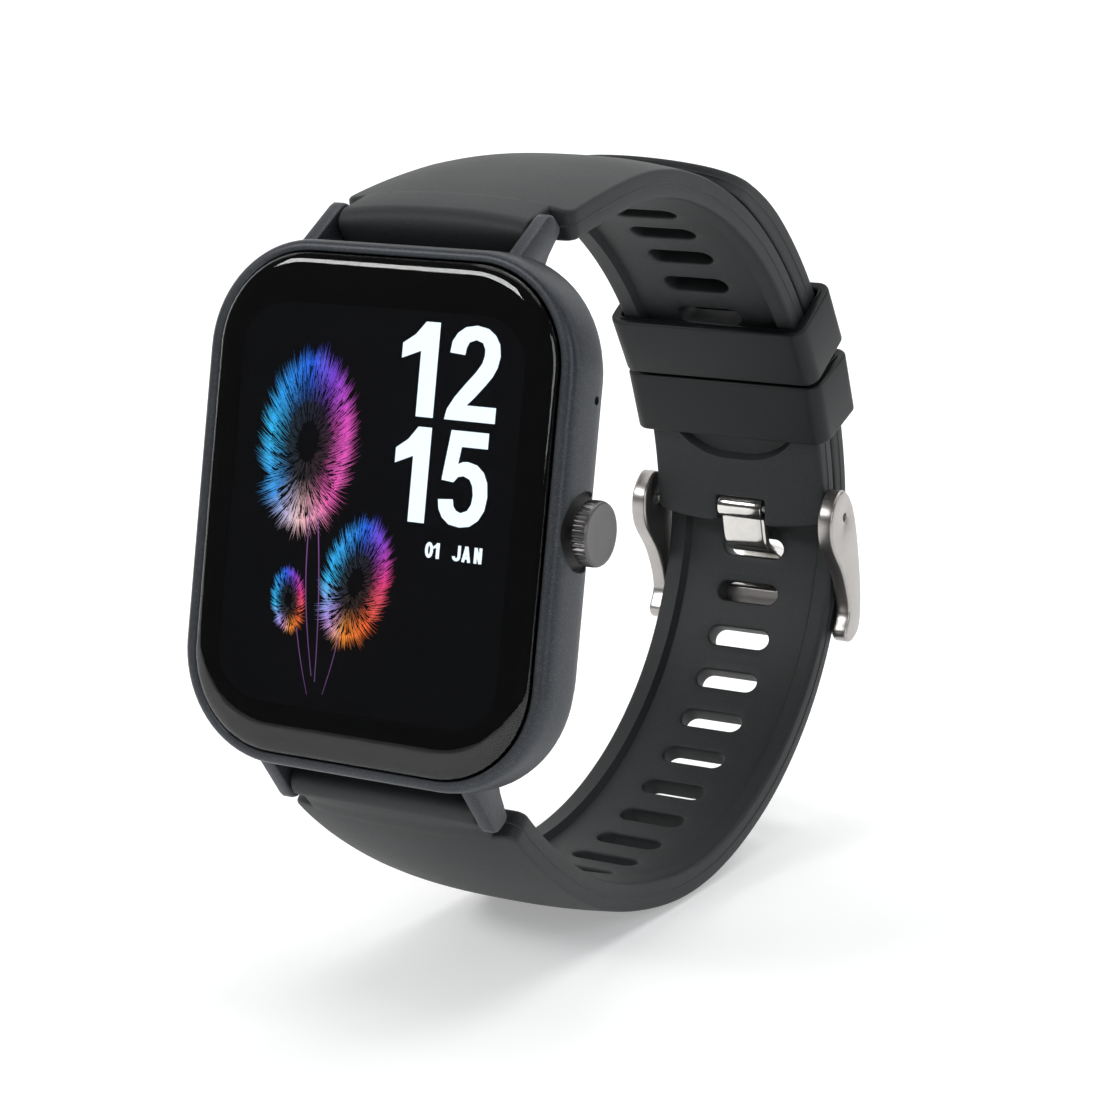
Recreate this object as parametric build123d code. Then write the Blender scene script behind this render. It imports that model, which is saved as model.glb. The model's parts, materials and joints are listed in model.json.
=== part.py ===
from build123d import *
import math
import os

# Smartwatch with a closed 20 mm silicone strap, in millimetres.
# It is drawn with the glass facing -Y, twelve o'clock up (+Z) and the crown at +X; the origin of the
# drawing is the middle of the glass edge.  The last step leans it back and stands it on its strap.

# ---- driving dimensions -------------------------------------------------------------------------
LEAN = 10.3                  # degrees that the watch leans back when it stands on its strap

GLASS_W, GLASS_H, GLASS_R = 34.9, 44.5, 8.8
GLASS_FRONT, GLASS_BACK = -0.6, 0.9
CASE_W, CASE_H, CASE_R = 38.2, 47.0, 10.3
CASE_FRONT, CASE_WAIST, CASE_BACK = 0.15, 5.0, 7.6      # bezel edge, where the sides draw in, rear edge
CASE_TAPER = 34.5            # degrees that the sides draw in behind the waist
WALL = 1.8
COVER_BACK = 10.3            # outer face of the back cover
WINDOW_R, WINDOW_BACK = 9.0, 11.0
SCREW_X, SCREW_Z, BOSS_R = 12.6, 16.9, 2.1

CROWN_Y, CROWN_Z, CROWN_R = 4.0, 0.24, 2.9
CROWN_IN, CROWN_OUT = 19.35, 20.9
RECESS_R, RECESS_FLOOR = 3.5, 18.4
CROWN_TEETH = 36

LUG_GAP, LUG_W = 20.0, 1.45
BAR_Y, BAR_Z = 7.0, 25.6     # spring bar axis at the top; the bottom one is at -BAR_Z
BAR_R, TIP_R, TIP_HOLE_R = 0.75, 0.40, 0.45

STRAP_W, SHOULDER_W, NECK_W = 20.0, 24.0, 19.6
STRAP_T, CHANNEL, RIM = 2.8, 0.8, 1.9        # thickness, depth of the inner channel, width of its rims
CROWN_PAD = 0.5                              # how far the domed outer face stands above its edges
LOOP_Y, LOOP_Z, LOOP_R = 33.8, -9.75, 43.5   # circle of the short strap's outer face
LAYER_GAP = 0.3                              # between the two strap layers
SLOT_L, SLOT_W = 7.2, 2.3
CHANNEL_START, CHANNEL_END = 33.5, 78.0      # stations of the channel on the short strap
SHORT_SLOTS = [39.2 + 5.0 * i for i in range(7)]
LONG_SLOTS = [39.1 + 5.4 * i for i in range(17)]
TANG_SLOT = LONG_SLOTS[10]

KEEPER_WALL, KEEPER_L = 1.15, 6.9
KEEPER_ANGLES = {"keeper_upper": 43.0, "keeper_lower": 32.5}

BUCKLE_Y, BUCKLE_Z = 74.0, 1.1               # buckle bar axis
CHEEK_IN, CHEEK_OUT = 10.35, 12.1
BUCKLE_BAR_R, BUCKLE_TIP_R = 0.6, 0.45
CROSSBAR_Y, CROSSBAR_Z, CROSSBAR_H = 79.75, -9.8, 4.3
TANG_W, TANG_T = 5.2, 1.1


# ---- helpers ------------------------------------------------------------------------------------
def slab(width, height, radius, y0, y1):
    """A plate with rounded corners, facing -Y, from depth y0 to y1."""
    return extrude(Plane.XZ.offset(-y1) * RectangleRounded(width, height, radius), amount=y1 - y0)


def block(x0, x1, y0, y1, z0, z1):
    """A box given by its limits."""
    centre = Pos((x0 + x1) / 2, (y0 + y1) / 2, (z0 + z1) / 2)
    return centre * Box(x1 - x0, y1 - y0, z1 - z0)


def rod_x(radius, x0, x1, y, z):
    """A cylinder along X."""
    return Pos((x0 + x1) / 2, y, z) * Rot(0, 90, 0) * Cylinder(radius, x1 - x0)


def rod_y(radius, y0, y1, x, z):
    """A cylinder along Y."""
    return Pos(x, (y0 + y1) / 2, z) * Rot(90, 0, 0) * Cylinder(radius, y1 - y0)


def side_plate(sketch, x0, x1):
    """A flat shape drawn in (Y, Z), from x0 to x1."""
    return extrude(Plane.YZ.offset(x0) * sketch, amount=x1 - x0)


def on_loop(radius, degrees):
    """The point of a circle about the strap's loop centre, and the heading of a line round it."""
    a = math.radians(degrees)
    return LOOP_Y + radius * math.cos(a), LOOP_Z + radius * math.sin(a)


def biarc(p0, h0, p1, h1):
    """The two tangent arcs that join two points with headings, as (length, turn in radians)."""
    t0, t1 = (math.cos(h0), math.sin(h0)), (math.cos(h1), math.sin(h1))
    v = (p1[0] - p0[0], p1[1] - p0[1])
    along = v[0] * (t0[0] + t1[0]) + v[1] * (t0[1] + t1[1])
    spread = 2 * (1 - t0[0] * t1[0] - t0[1] * t1[1])
    d = (-along + math.sqrt(along**2 + spread * (v[0] ** 2 + v[1] ** 2))) / spread
    middle = [(p0[k] + p1[k] + d * (t0[k] - t1[k])) / 2 for k in (0, 1)]
    arcs = []
    for point, tangent, sign in ((p0, t0, 1), (p1, t1, -1)):
        chord = [(middle[k] - point[k]) * sign for k in (0, 1)]
        half = math.atan2(tangent[0] * chord[1] - tangent[1] * chord[0],
                          tangent[0] * chord[0] + tangent[1] * chord[1])
        arcs.append((math.hypot(*chord) * half / math.sin(half), 2 * half * sign))
    return arcs


class Ribbon:
    """A strap's outer edge line, seen from the side: arcs through (y, z, heading) nodes."""

    def __init__(self, nodes, inward):
        self.nodes, self.inward = nodes, inward
        self.arcs = []
        for (y0, z0, h0), (y1, z1, h1) in zip(nodes, nodes[1:]):
            self.arcs += biarc((y0, z0), math.radians(h0), (y1, z1), math.radians(h1))
        self.length = sum(length for length, turn in self.arcs)

    def at(self, station):
        """y, z and heading at a length along the line."""
        y, z, heading = self.nodes[0]
        heading = math.radians(heading)
        for length, turn in self.arcs:
            step = min(station, length)
            bend = turn * step / length
            chord = step if abs(bend) < 1e-9 else step * math.sin(bend / 2) / (bend / 2)
            y += chord * math.cos(heading + bend / 2)
            z += chord * math.sin(heading + bend / 2)
            heading += bend
            station -= step
        return y, z, heading

    def point(self, station, depth):
        """The (y, z) point that lies depth inside the line."""
        y, z, heading = self.at(station)
        return (y + self.inward * depth * math.sin(heading), z - self.inward * depth * math.cos(heading))

    def line(self, s0, s1, depth):
        """Arcs parallel to the line, depth inside it."""
        marks, total = [s0], 0
        for length, turn in self.arcs:
            total += length
            if s0 + 0.01 < total < s1 - 0.01:
                marks.append(total)
        marks.append(s1)
        return [ThreePointArc(self.point(a, depth), self.point((a + b) / 2, depth), self.point(b, depth))
                for a, b in zip(marks, marks[1:])]

    def band(self, s0, s1, depth0, depth1, half_width):
        """A solid strip of the strap between two stations and two depths."""
        edges = self.line(s0, s1, depth0) + self.line(s0, s1, depth1)
        edges += [Line(self.point(s, depth0), self.point(s, depth1)) for s in (s0, s1)]
        return side_plate(make_face(edges), -half_width, half_width)

    def plane(self, station, depth=0.0):
        """A plane lying on the strap at a station: X across it, its normal pointing outwards."""
        y, z = self.point(station, depth)
        heading = self.at(station)[2]
        outward = (0, -self.inward * math.sin(heading), self.inward * math.cos(heading))
        return Plane(origin=(0, y, z), x_dir=(1, 0, 0), z_dir=outward)


START = 106.3                # loop angle where the short strap's circle begins
SHORT_END, LONG_JOIN, TAIL_END = 12.6, 21.0, 84.0
OUTER_R = LOOP_R + LAYER_GAP + STRAP_T
SHORT = Ribbon([(7.7, 26.9, 24.5), (*on_loop(LOOP_R, START), START - 90),
                (*on_loop(LOOP_R, SHORT_END), SHORT_END - 90)], 1)
LONG = Ribbon([(7.9, -26.6, -38), (17.5, -32.3, -25), (32.7, -37.2, -8.6), (56.3, -35.3, 21.5),
               (74.3, -20.8, 57), (79.3, -6, 85), (*on_loop(OUTER_R, LONG_JOIN), LONG_JOIN + 90),
               (*on_loop(OUTER_R, TAIL_END), TAIL_END + 90)], -1)


# ---- case ---------------------------------------------------------------------------------------
def lug(x0, sign):
    """One lug: a slanted prism with a rounded tip and the blind hole for the spring bar."""
    outline = make_face(Polyline((1.6, 22.6), (6.6, 27.0), (7.5, 27.15), (8.9, 26.2), (6.9, 23.2),
                                 (6.9, 22.2), (3.0, 22.2), close=True))
    solid = side_plate(outline, x0, x0 + LUG_W)
    solid -= rod_x(TIP_HOLE_R, -LUG_GAP / 2 - 1.1, LUG_GAP / 2 + 1.1, BAR_Y, BAR_Z)
    return solid if sign > 0 else mirror(solid, about=Plane.XY)


def mid_case():
    """The barrel: glass seat, hollow, screw bosses, lugs, crown bore, microphone and speaker holes."""
    body = slab(CASE_W, CASE_H, CASE_R, CASE_FRONT, CASE_WAIST)
    body = fillet(body.faces().sort_by(Axis.Y)[0].edges(), 1.2)
    rear = extrude(Plane.XZ.offset(-CASE_WAIST) * RectangleRounded(CASE_W, CASE_H, CASE_R),
                   amount=-(CASE_BACK - CASE_WAIST), taper=CASE_TAPER)
    body += rear
    for x0 in (-LUG_GAP / 2 - LUG_W, LUG_GAP / 2):
        for sign in (1, -1):
            body += lug(x0, sign)
    body -= slab(GLASS_W + 0.3, GLASS_H + 0.3, GLASS_R + 0.15, -1, GLASS_BACK)
    body -= slab(32.2, 41.6, 7.2, 0, 2.0)
    body -= slab(CASE_W - 2 * WALL, CASE_H - 2 * WALL, 8.2, 1.9, CASE_WAIST + 0.2)
    body -= slab(31.6, 40.4, 7.0, 1.9, CASE_BACK + 1)
    body -= slab(32.8, 41.6, 7.6, CASE_BACK - 0.35, CASE_BACK + 1)
    for x in (-SCREW_X, SCREW_X):
        for z in (-SCREW_Z, SCREW_Z):
            body += rod_y(BOSS_R, 3.2, CASE_BACK - 0.35, x, z) - rod_y(0.62, 4.6, CASE_BACK + 1, x, z)
    body -= rod_x(RECESS_R, RECESS_FLOOR, 20, CROWN_Y, CROWN_Z)
    body -= rod_x(1.3, 15, 20, CROWN_Y, CROWN_Z)
    body -= rod_x(0.4, 15, 20, 4.2, 11.5)
    for z in (-14, -12, -10):
        body -= rod_x(0.5, -20, -15, 4.4, z)
    return body


def cover_glass():
    """The curved-edge glass."""
    glass = slab(GLASS_W, GLASS_H, GLASS_R, GLASS_FRONT, GLASS_BACK - 0.15)
    return fillet(glass.faces().sort_by(Axis.Y)[0].edges(), 0.6)


def glass_adhesive():
    """The sealing tape under the rim of the glass."""
    return slab(34.6, 44.2, 8.6, GLASS_BACK - 0.15, GLASS_BACK) - slab(32.3, 41.7, 7.2, 0, 2)


def display():
    """The display panel, its light guide below it and the flat cable to the board."""
    panel = slab(30.6, 38.4, 5.0, 0.8, 1.7)
    guide = slab(30.6, 38.4, 5.0, 1.75, 2.55)
    cable = block(-5, 5, 2.6, 2.72, -17, -8)
    return panel, guide, cable


def inner_frame():
    """The moulded carrier over the board: a plate with windows and the battery's walls."""
    plate = slab(31.0, 37.8, 6.2, 4.0, 4.6)
    plate -= block(9.6, 20, 3, 5, -3.4, 3.8) + block(-13.4, -6.3, 3, 5, 9.4, 17.3)
    plate -= block(-4.4, 12.6, 3, 5, 9.4, 17.3)
    plate -= rod_y(4.4, 3, 5, 3.2, -12.8) + block(-20, -8.1, 3, 5, -16.9, -8.6)
    for x in (-SCREW_X, SCREW_X):
        for z in (-SCREW_Z, SCREW_Z):
            plate -= rod_y(2.5, 3, 5, x, z)
    walls = block(-14.6, 9.5, 4.6, 7.2, -8.5, 7.6) - block(-13.8, 9.0, 4, 8, -8.2, 7.0)
    return plate + walls


def main_board():
    """The circuit board and its components, a group of separate chips."""
    board = slab(31.0, 38.6, 6.4, 3.0, 3.8)
    board -= block(9.9, 20, 2, 5, -2.4, 2.9)
    for x in (-SCREW_X, SCREW_X):
        for z in (-SCREW_Z, SCREW_Z):
            board -= rod_y(2.5, 2, 5, x, z)
    chips = [block(-13, -7, 3.8, 4.7, 10, 14.2), block(-4, 0, 3.8, 4.6, 11, 15), block(3, 8, 3.8, 4.7, 10, 14),
             block(10.2, 12.2, 3.8, 4.4, 9.8, 13.4), block(3.5, 6.0, 3.8, 4.5, 15.2, 16.4)]
    return board, Compound(children=chips)


# ---- crown --------------------------------------------------------------------------------------
def crown_cap():
    """The knurled disc."""
    cap = rod_x(CROWN_R - 0.18, CROWN_IN, CROWN_OUT, CROWN_Y, CROWN_Z)
    cap = chamfer(cap.faces().sort_by(Axis.X)[-1].edges(), 0.2)
    for i in range(CROWN_TEETH):
        a = 2 * math.pi * i / CROWN_TEETH
        r = CROWN_R - 0.2
        cap += rod_x(0.2, CROWN_IN + 0.1, CROWN_OUT - 0.25, CROWN_Y + r * math.cos(a), CROWN_Z + r * math.sin(a))
    return cap


def crown_stem():
    """The shaft with its groove for the seal."""
    stem = rod_x(0.8, 13.5, CROWN_IN, CROWN_Y, CROWN_Z)
    groove = rod_x(1.2, 17.4, 17.9, CROWN_Y, CROWN_Z) - rod_x(0.55, 17, 18, CROWN_Y, CROWN_Z)
    return stem - groove


def ring_x(major, minor, x, y, z):
    """A round ring about an axis along X."""
    return Pos(x, y, z) * Rot(0, 90, 0) * Torus(major, minor)


# ---- strap --------------------------------------------------------------------------------------
def plan_outline(sign):
    """The strap's outline from above as a tall prism: neck, shoulders, taper."""
    half = [(4, NECK_W / 2), (9.25, NECK_W / 2), (9.25, SHOULDER_W / 2 - 0.4), (9.9, SHOULDER_W / 2),
            (34, STRAP_W / 2 + 0.25), (45, STRAP_W / 2), (95, STRAP_W / 2)]
    points = [(x, y) for y, x in half] + [(-x, y) for y, x in reversed(half)]
    low, high = (0, 60) if sign > 0 else (-60, 60)
    return extrude(Plane.XY.offset(low) * make_face(Polyline(*points, close=True)), amount=high - low)


def slots(ribbon, stations):
    """Cutters for the oblong holes."""
    return [extrude(ribbon.plane(s) * SlotOverall(SLOT_L, SLOT_W), amount=6, both=True) for s in stations]


def strap_short():
    """Twelve o'clock strap, which carries the buckle."""
    end = SHORT.length
    outline = SHORT.band(0, end, 0, STRAP_T, SHOULDER_W / 2)
    outline += SHORT.band(0, CHANNEL_START - 4, -CROWN_PAD, 0.1, STRAP_W / 2 - 1)
    outline += rod_x(1.6, -SHOULDER_W / 2, SHOULDER_W / 2, BAR_Y, BAR_Z)
    outline += rod_x(1.4, -STRAP_W / 2, STRAP_W / 2, BUCKLE_Y, BUCKLE_Z)
    strap = outline & plan_outline(1)
    strap -= SHORT.band(CHANNEL_START, CHANNEL_END, STRAP_T - CHANNEL, STRAP_T + 1, STRAP_W / 2 - RIM)
    for cutter in slots(SHORT, SHORT_SLOTS):
        strap -= cutter
    strap -= rod_x(BAR_R + 0.05, -15, 15, BAR_Y, BAR_Z)
    strap -= rod_x(BUCKLE_BAR_R + 0.05, -15, 15, BUCKLE_Y, BUCKLE_Z)
    strap -= block(-TANG_W / 2 - 0.25, TANG_W / 2 + 0.25, 70, 80, -8, BUCKLE_Z + 1.7)
    return strap - lever_slot(1)


def strap_long():
    """Six o'clock strap with its row of slots; it runs through the buckle and over the short strap."""
    end, tip = LONG.length, 16
    outline = LONG.band(0, end, 0, STRAP_T, SHOULDER_W / 2)
    outline += LONG.band(0, 80, -CROWN_PAD, 0.1, STRAP_W / 2 - 1)
    outline += rod_x(1.6, -SHOULDER_W / 2, SHOULDER_W / 2, BAR_Y, -BAR_Z)
    strap = outline & plan_outline(-1)
    strap -= LONG.band(CHANNEL_START, end - 14, STRAP_T - CHANNEL, STRAP_T + 1, STRAP_W / 2 - RIM)
    for cutter in slots(LONG, LONG_SLOTS):
        strap -= cutter
    thin = [ThreePointArc(LONG.point(end - tip, 0), LONG.point(end - tip / 2, 0.5), LONG.point(end, 1.3)),
            Polyline(LONG.point(end, 1.3), LONG.point(end, -2), LONG.point(end - tip, -2),
                     LONG.point(end - tip, 0))]
    strap -= side_plate(make_face(thin), -15, 15)
    radius = STRAP_W / 2
    corners = Pos(0, -radius) * Rectangle(4 * radius, 2 * radius) - Circle(radius)
    strap -= extrude(LONG.plane(end - radius) * corners, amount=8, both=True)
    strap -= rod_x(BAR_R + 0.05, -15, 15, BAR_Y, -BAR_Z)
    return strap - lever_slot(-1)


def lever_slot(sign):
    """The opening under a spring bar that the quick-release lever moves in."""
    z0, z1 = sorted((sign * BAR_Z, sign * (BAR_Z - 3.5)))
    return block(3.6, 7.4, BAR_Y - 0.75, BAR_Y + 3.6, z0, z1)


def keeper(degrees):
    """A square silicone loop round both strap layers."""
    y, z = on_loop(1, degrees)
    low = LOOP_R - STRAP_T - 0.3
    high = OUTER_R + 0.4
    frame = Plane(origin=(0, LOOP_Y, LOOP_Z), x_dir=(1, 0, 0), z_dir=(0, -(z - LOOP_Z), y - LOOP_Y))
    inside, outside = STRAP_W + 0.5, STRAP_W + 3.3
    middle, tall = (low + high) / 2, high - low
    ring = RectangleRounded(outside, tall + 2 * KEEPER_WALL, 1.4) - RectangleRounded(inside, tall, 0.5)
    return extrude(frame * (Pos(0, middle) * ring), amount=KEEPER_L / 2, both=True)


# ---- spring bars --------------------------------------------------------------------------------
def bar_tube(z):
    """The tube of a spring bar, open at the end where the sliding tip goes in, with the lever's slot."""
    tube = rod_x(BAR_R, -9.4, 9.4, BAR_Y, z) - rod_x(0.55, -6, 10, BAR_Y, z)
    lever = sorted((z, z - math.copysign(2, z)))
    return tube - block(4.2, 6.8, BAR_Y - 0.3, BAR_Y + 0.3, *lever)


def bar_fixed_tip(z):
    """The tip that is crimped into the tube."""
    return rod_x(TIP_R, -LUG_GAP / 2 - 0.9, -9.4, BAR_Y, z)


def bar_sliding_tip(z):
    """The tip that the lever draws in, with its plunger and lever."""
    plunger = rod_x(0.5, 3.4, 9.2, BAR_Y, z) + rod_x(TIP_R, 9.2, LUG_GAP / 2 + 0.9, BAR_Y, z)
    low, high = sorted((z - math.copysign(0.2, z), z - math.copysign(2.2, z)))
    return plunger + block(5.6, 6.2, BAR_Y - 0.25, BAR_Y + 0.25, low, high)


def bar_spring(z):
    """The coil spring behind the plunger."""
    wire, coil, turns, length = 0.1, 0.36, 9, 5.0
    helix = Helix(pitch=length / turns, height=length, radius=coil)
    section = Plane(origin=helix @ 0, z_dir=helix % 0) * Circle(wire)
    return Pos(-1.8, BAR_Y, z) * Rot(0, 90, 0) * sweep(section, path=helix, is_frenet=True)


# ---- buckle -------------------------------------------------------------------------------------
def buckle_frame():
    """Two teardrop cheeks joined by the crossbar that the tang rests on."""
    rim = [(-0.8, 2.9), (1.8, 1.3), (4.1, -2.7), (6.2, -8.3), (6.5, -11.9), (4.7, -13.5), (3.2, -12.7),
           (3.6, -9.9), (1.2, -6.2), (-2.3, -3.2), (-3.3, -0.4), (-2.5, 1.9)]
    outline = make_face(Spline(*[(BUCKLE_Y + y, BUCKLE_Z + z) for y, z in rim], periodic=True))
    frame = side_plate(outline, -CHEEK_OUT, -CHEEK_IN) + side_plate(outline, CHEEK_IN, CHEEK_OUT)
    bar = Pos(CROSSBAR_Y, CROSSBAR_Z) * Rot(0, 0, 2) * RectangleRounded(1.2, CROSSBAR_H, 0.55)
    frame += side_plate(bar, -CHEEK_OUT + 0.3, CHEEK_OUT - 0.3)
    return frame - rod_x(BUCKLE_TIP_R + 0.03, -15, 15, BUCKLE_Y, BUCKLE_Z)


def buckle_bar():
    """The spring bar that the buckle and the tang turn on."""
    bar = rod_x(BUCKLE_BAR_R, -10.2, 10.2, BUCKLE_Y, BUCKLE_Z)
    return bar + rod_x(BUCKLE_TIP_R, -11.6, 11.6, BUCKLE_Y, BUCKLE_Z)


def tang_line():
    """The middle line of the tang's arm, seen from the side."""
    slot_y, slot_z = LONG.point(TANG_SLOT, STRAP_T / 2)
    return [(BUCKLE_Y + 0.2, BUCKLE_Z - 0.7), (slot_y - 2.2, slot_z + 0.2), (slot_y + 2.6, slot_z - 0.3),
            (CROSSBAR_Y + 1.6, CROSSBAR_Z + 2.4), (CROSSBAR_Y + 1.35, CROSSBAR_Z - 2.2)]


def buckle_tang():
    """The tongue: a roll round the bar and an arm through the strap's slot."""
    arm = trace(FilletPolyline(*tang_line(), radius=0.6), TANG_T)
    roll = rod_x(1.2, -TANG_W / 2, TANG_W / 2, BUCKLE_Y, BUCKLE_Z)
    tang = side_plate(arm, -TANG_W / 2, TANG_W / 2) + roll
    return tang - rod_x(BUCKLE_BAR_R + 0.04, -15, 15, BUCKLE_Y, BUCKLE_Z)


# ---- back ---------------------------------------------------------------------------------------
def back_cover():
    """The rear shell with the sensor opening, screw holes and contact holes."""
    cover = slab(34.2, 43.0, 8.4, CASE_BACK + 0.05, COVER_BACK)
    cover = fillet(cover.faces().sort_by(Axis.Y)[-1].edges(), 2.2)
    cover += rod_y(WINDOW_R + 1.2, COVER_BACK - 0.2, COVER_BACK + 0.35, 0, 2)
    cover -= slab(29, 37.8, 6.0, CASE_BACK - 1, CASE_BACK + 0.55)
    cover -= rod_y(WINDOW_R, COVER_BACK - 0.5, 20, 0, 2) + rod_y(7.2, 5, 20, 0, 2)
    for x in (-SCREW_X, SCREW_X):
        for z in (-SCREW_Z, SCREW_Z):
            cover += rod_y(1.9, CASE_BACK + 0.05, CASE_BACK + 0.7, x, z)
            cover -= rod_y(0.75, 5, 20, x, z) + rod_y(1.35, COVER_BACK - 0.75, 20, x, z)
    for x in (-3.5, 3.5):
        cover -= rod_y(1.0, 5, 20, x, -13.5) + rod_y(1.65, 5, 9.25, x + math.copysign(5, x), -13.5)
    return cover


def screw(x, z):
    """A countersunk case screw with a cross recess."""
    head = rod_y(1.25, COVER_BACK - 0.72, COVER_BACK - 0.1, x, z)
    head -= block(x - 0.7, x + 0.7, COVER_BACK - 0.4, COVER_BACK + 1, z - 0.14, z + 0.14)
    head -= block(x - 0.14, x + 0.14, COVER_BACK - 0.4, COVER_BACK + 1, z - 0.7, z + 0.7)
    return head + rod_y(0.58, 5.0, COVER_BACK - 0.7, x, z)


def sensor_leds():
    """The light sources and the photodiode, moulded on one thin disc."""
    array = rod_y(5.6, 8.75, 8.9, 0, 2)
    for x, z in ((0, 2), (-3.4, 2), (3.4, 2), (0, 5.4), (0, -1.4)):
        array += block(x - 0.9, x + 0.9, 8.75, 9.5, z - 0.9, z + 0.9)
    return array


def contact(x):
    """A charging contact: a pad outside and a pin inside."""
    return rod_y(0.95, CASE_BACK + 0.6, COVER_BACK + 0.05, x, -13.5) + rod_y(0.45, 7.6, CASE_BACK + 0.7, x, -13.5)


# ---- the whole watch ----------------------------------------------------------------------------
def build():
    """Every sub-part by name, as drawn."""
    panel, guide, cable = display()
    board, chips = main_board()
    parts = {
        "mid_case": mid_case(),
        "cover_glass": cover_glass(),
        "glass_adhesive": glass_adhesive(),
        "display_panel": panel,
        "display_light_guide": guide,
        "display_cable": cable,
        "main_board": board,
        "board_chips": chips,
        "inner_frame": inner_frame(),
        "battery": fillet(block(-13.6, 8.8, 4.75, 7.5, -8, 6.8).edges(), 0.6),
        "vibration_motor": rod_y(4.0, 4.0, 6.8, 3.2, -12.8),
        "speaker": fillet(block(-15.6, -8.4, 3.9, 6.8, -14.6, -8.8).edges(), 0.5),
        "microphone": block(15.6, 17.1, 3.85, 5.0, 10.4, 12.6),
        "crown_bush": rod_x(1.3, 16.6, RECESS_FLOOR, CROWN_Y, CROWN_Z) - rod_x(0.88, 15, 20, CROWN_Y, CROWN_Z),
        "crown_cap": crown_cap(),
        "crown_stem": crown_stem(),
        "crown_seal": ring_x(0.7, 0.15, 17.65, CROWN_Y, CROWN_Z),
        "crown_plunger": rod_x(0.9, 12.7, 13.45, CROWN_Y, CROWN_Z),
        "crown_switch": block(10.0, 11.6, 2.9, 5.1, -1.5, 2.0) + rod_x(0.6, 11.5, 12.1, CROWN_Y, CROWN_Z),
        "back_cover": back_cover(),
        "back_seal": slab(32.6, 41.4, 7.5, CASE_BACK - 0.3, CASE_BACK) - slab(31.9, 40.7, 7.15, 5, 10),
        "back_screws": Compound(children=[screw(x, z) for x in (-SCREW_X, SCREW_X)
                                          for z in (-SCREW_Z, SCREW_Z)]),
        "sensor_window": rod_y(WINDOW_R - 0.1, COVER_BACK - 0.45, WINDOW_BACK, 0, 2),
        "sensor_board": rod_y(6.9, 8.15, 8.75, 0, 2),
        "sensor_leds": sensor_leds(),
        "charge_contacts": Compound(children=[contact(x) for x in (-3.5, 3.5)]),
        "charge_magnets": Compound(children=[rod_y(1.6, 7.9, 9.2, x, -13.5) for x in (-8.5, 8.5)]),
        "strap_short": strap_short(),
        "strap_long": strap_long(),
        "buckle_frame": buckle_frame(),
        "buckle_bar": buckle_bar(),
        "buckle_tang": buckle_tang(),
    }
    for name, degrees in KEEPER_ANGLES.items():
        parts[name] = keeper(degrees)
    for name, z in (("top", BAR_Z), ("bottom", -BAR_Z)):
        parts[f"{name}_bar_tube"] = bar_tube(z)
        parts[f"{name}_bar_fixed_tip"] = bar_fixed_tip(z)
        parts[f"{name}_bar_sliding_tip"] = bar_sliding_tip(z)
        parts[f"{name}_bar_spring"] = bar_spring(z)
    return parts


def main():
    os.makedirs("parts", exist_ok=True)
    leaned = {name: Rot(-LEAN, 0, 0) * part for name, part in build().items()}
    boxes = [part.bounding_box() for part in leaned.values()]
    low = [min(getattr(box.min, axis) for box in boxes) for axis in "XYZ"]
    high = [max(getattr(box.max, axis) for box in boxes) for axis in "XYZ"]
    drop = Pos(-(low[0] + high[0]) / 2, -(low[1] + high[1]) / 2, -low[2])
    for name, part in leaned.items():
        export_step(drop * part, f"parts/{name}.step")
    print("moved by", drop.position)


main()
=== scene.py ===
"""Looks of a rectangular smartwatch that stands on its closed silicone strap.

Sizes are millimetres in the watch's own drawing frame (X to the crown, Y backwards, Z up the face,
origin in the middle of the glass edge).  place() leans a point back and sets it down where the CAD is.
"""

import json
import math
import random

import bmesh
import bpy
from mathutils import Matrix, Vector
from mathutils.geometry import delaunay_2d_cdt


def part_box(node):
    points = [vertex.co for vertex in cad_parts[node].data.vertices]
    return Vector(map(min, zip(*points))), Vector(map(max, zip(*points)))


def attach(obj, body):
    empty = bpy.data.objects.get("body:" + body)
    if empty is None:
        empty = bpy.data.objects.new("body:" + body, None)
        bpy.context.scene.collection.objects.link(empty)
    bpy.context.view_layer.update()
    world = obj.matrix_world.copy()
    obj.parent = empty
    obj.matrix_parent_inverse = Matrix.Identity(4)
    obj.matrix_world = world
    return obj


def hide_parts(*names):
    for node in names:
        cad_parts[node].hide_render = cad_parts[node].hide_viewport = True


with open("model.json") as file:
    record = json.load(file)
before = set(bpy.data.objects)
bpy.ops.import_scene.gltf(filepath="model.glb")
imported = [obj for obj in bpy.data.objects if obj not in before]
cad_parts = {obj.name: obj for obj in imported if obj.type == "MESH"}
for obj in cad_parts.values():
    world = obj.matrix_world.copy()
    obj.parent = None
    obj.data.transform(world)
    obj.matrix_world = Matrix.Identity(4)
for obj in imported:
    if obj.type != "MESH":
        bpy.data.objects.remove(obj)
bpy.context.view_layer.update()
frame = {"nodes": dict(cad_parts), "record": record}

# ---- driving dimensions -------------------------------------------------------------------------
LEAN = 10.3
GLASS_W, GLASS_H, GLASS_R = 34.9, 44.5, 8.8
CASE_W, CASE_H, CASE_R = 38.2, 47.0, 10.3
CASE_WAIST, CASE_BACK, CASE_TAPER = 5.0, 7.6, 34.5
COVER_W, COVER_H, COVER_R, COVER_EDGE, COVER_Y = 34.2, 43.0, 8.4, 2.2, 10.3
WINDOW_R, WINDOW_Z = 9.0, 2.0
SCREW_X, SCREW_Z = 12.6, 16.9
CROWN_Y, CROWN_Z, CROWN_IN, CROWN_OUT = 4.0, 0.24, 19.35, 20.9
RECESS_R, RECESS_FLOOR = 3.5, 18.4
CROWN_TEETH = 40
PLUNGER_X = 13.075           # middle of the crown's plunger, which ties the drawing to the CAD
LUG_GAP, LUG_W = 20.0, 1.45
BAR_Y, BAR_Z = 7.0, 25.6
STRAP_W, SHOULDER_W, NECK_W = 20.0, 24.0, 19.6
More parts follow.
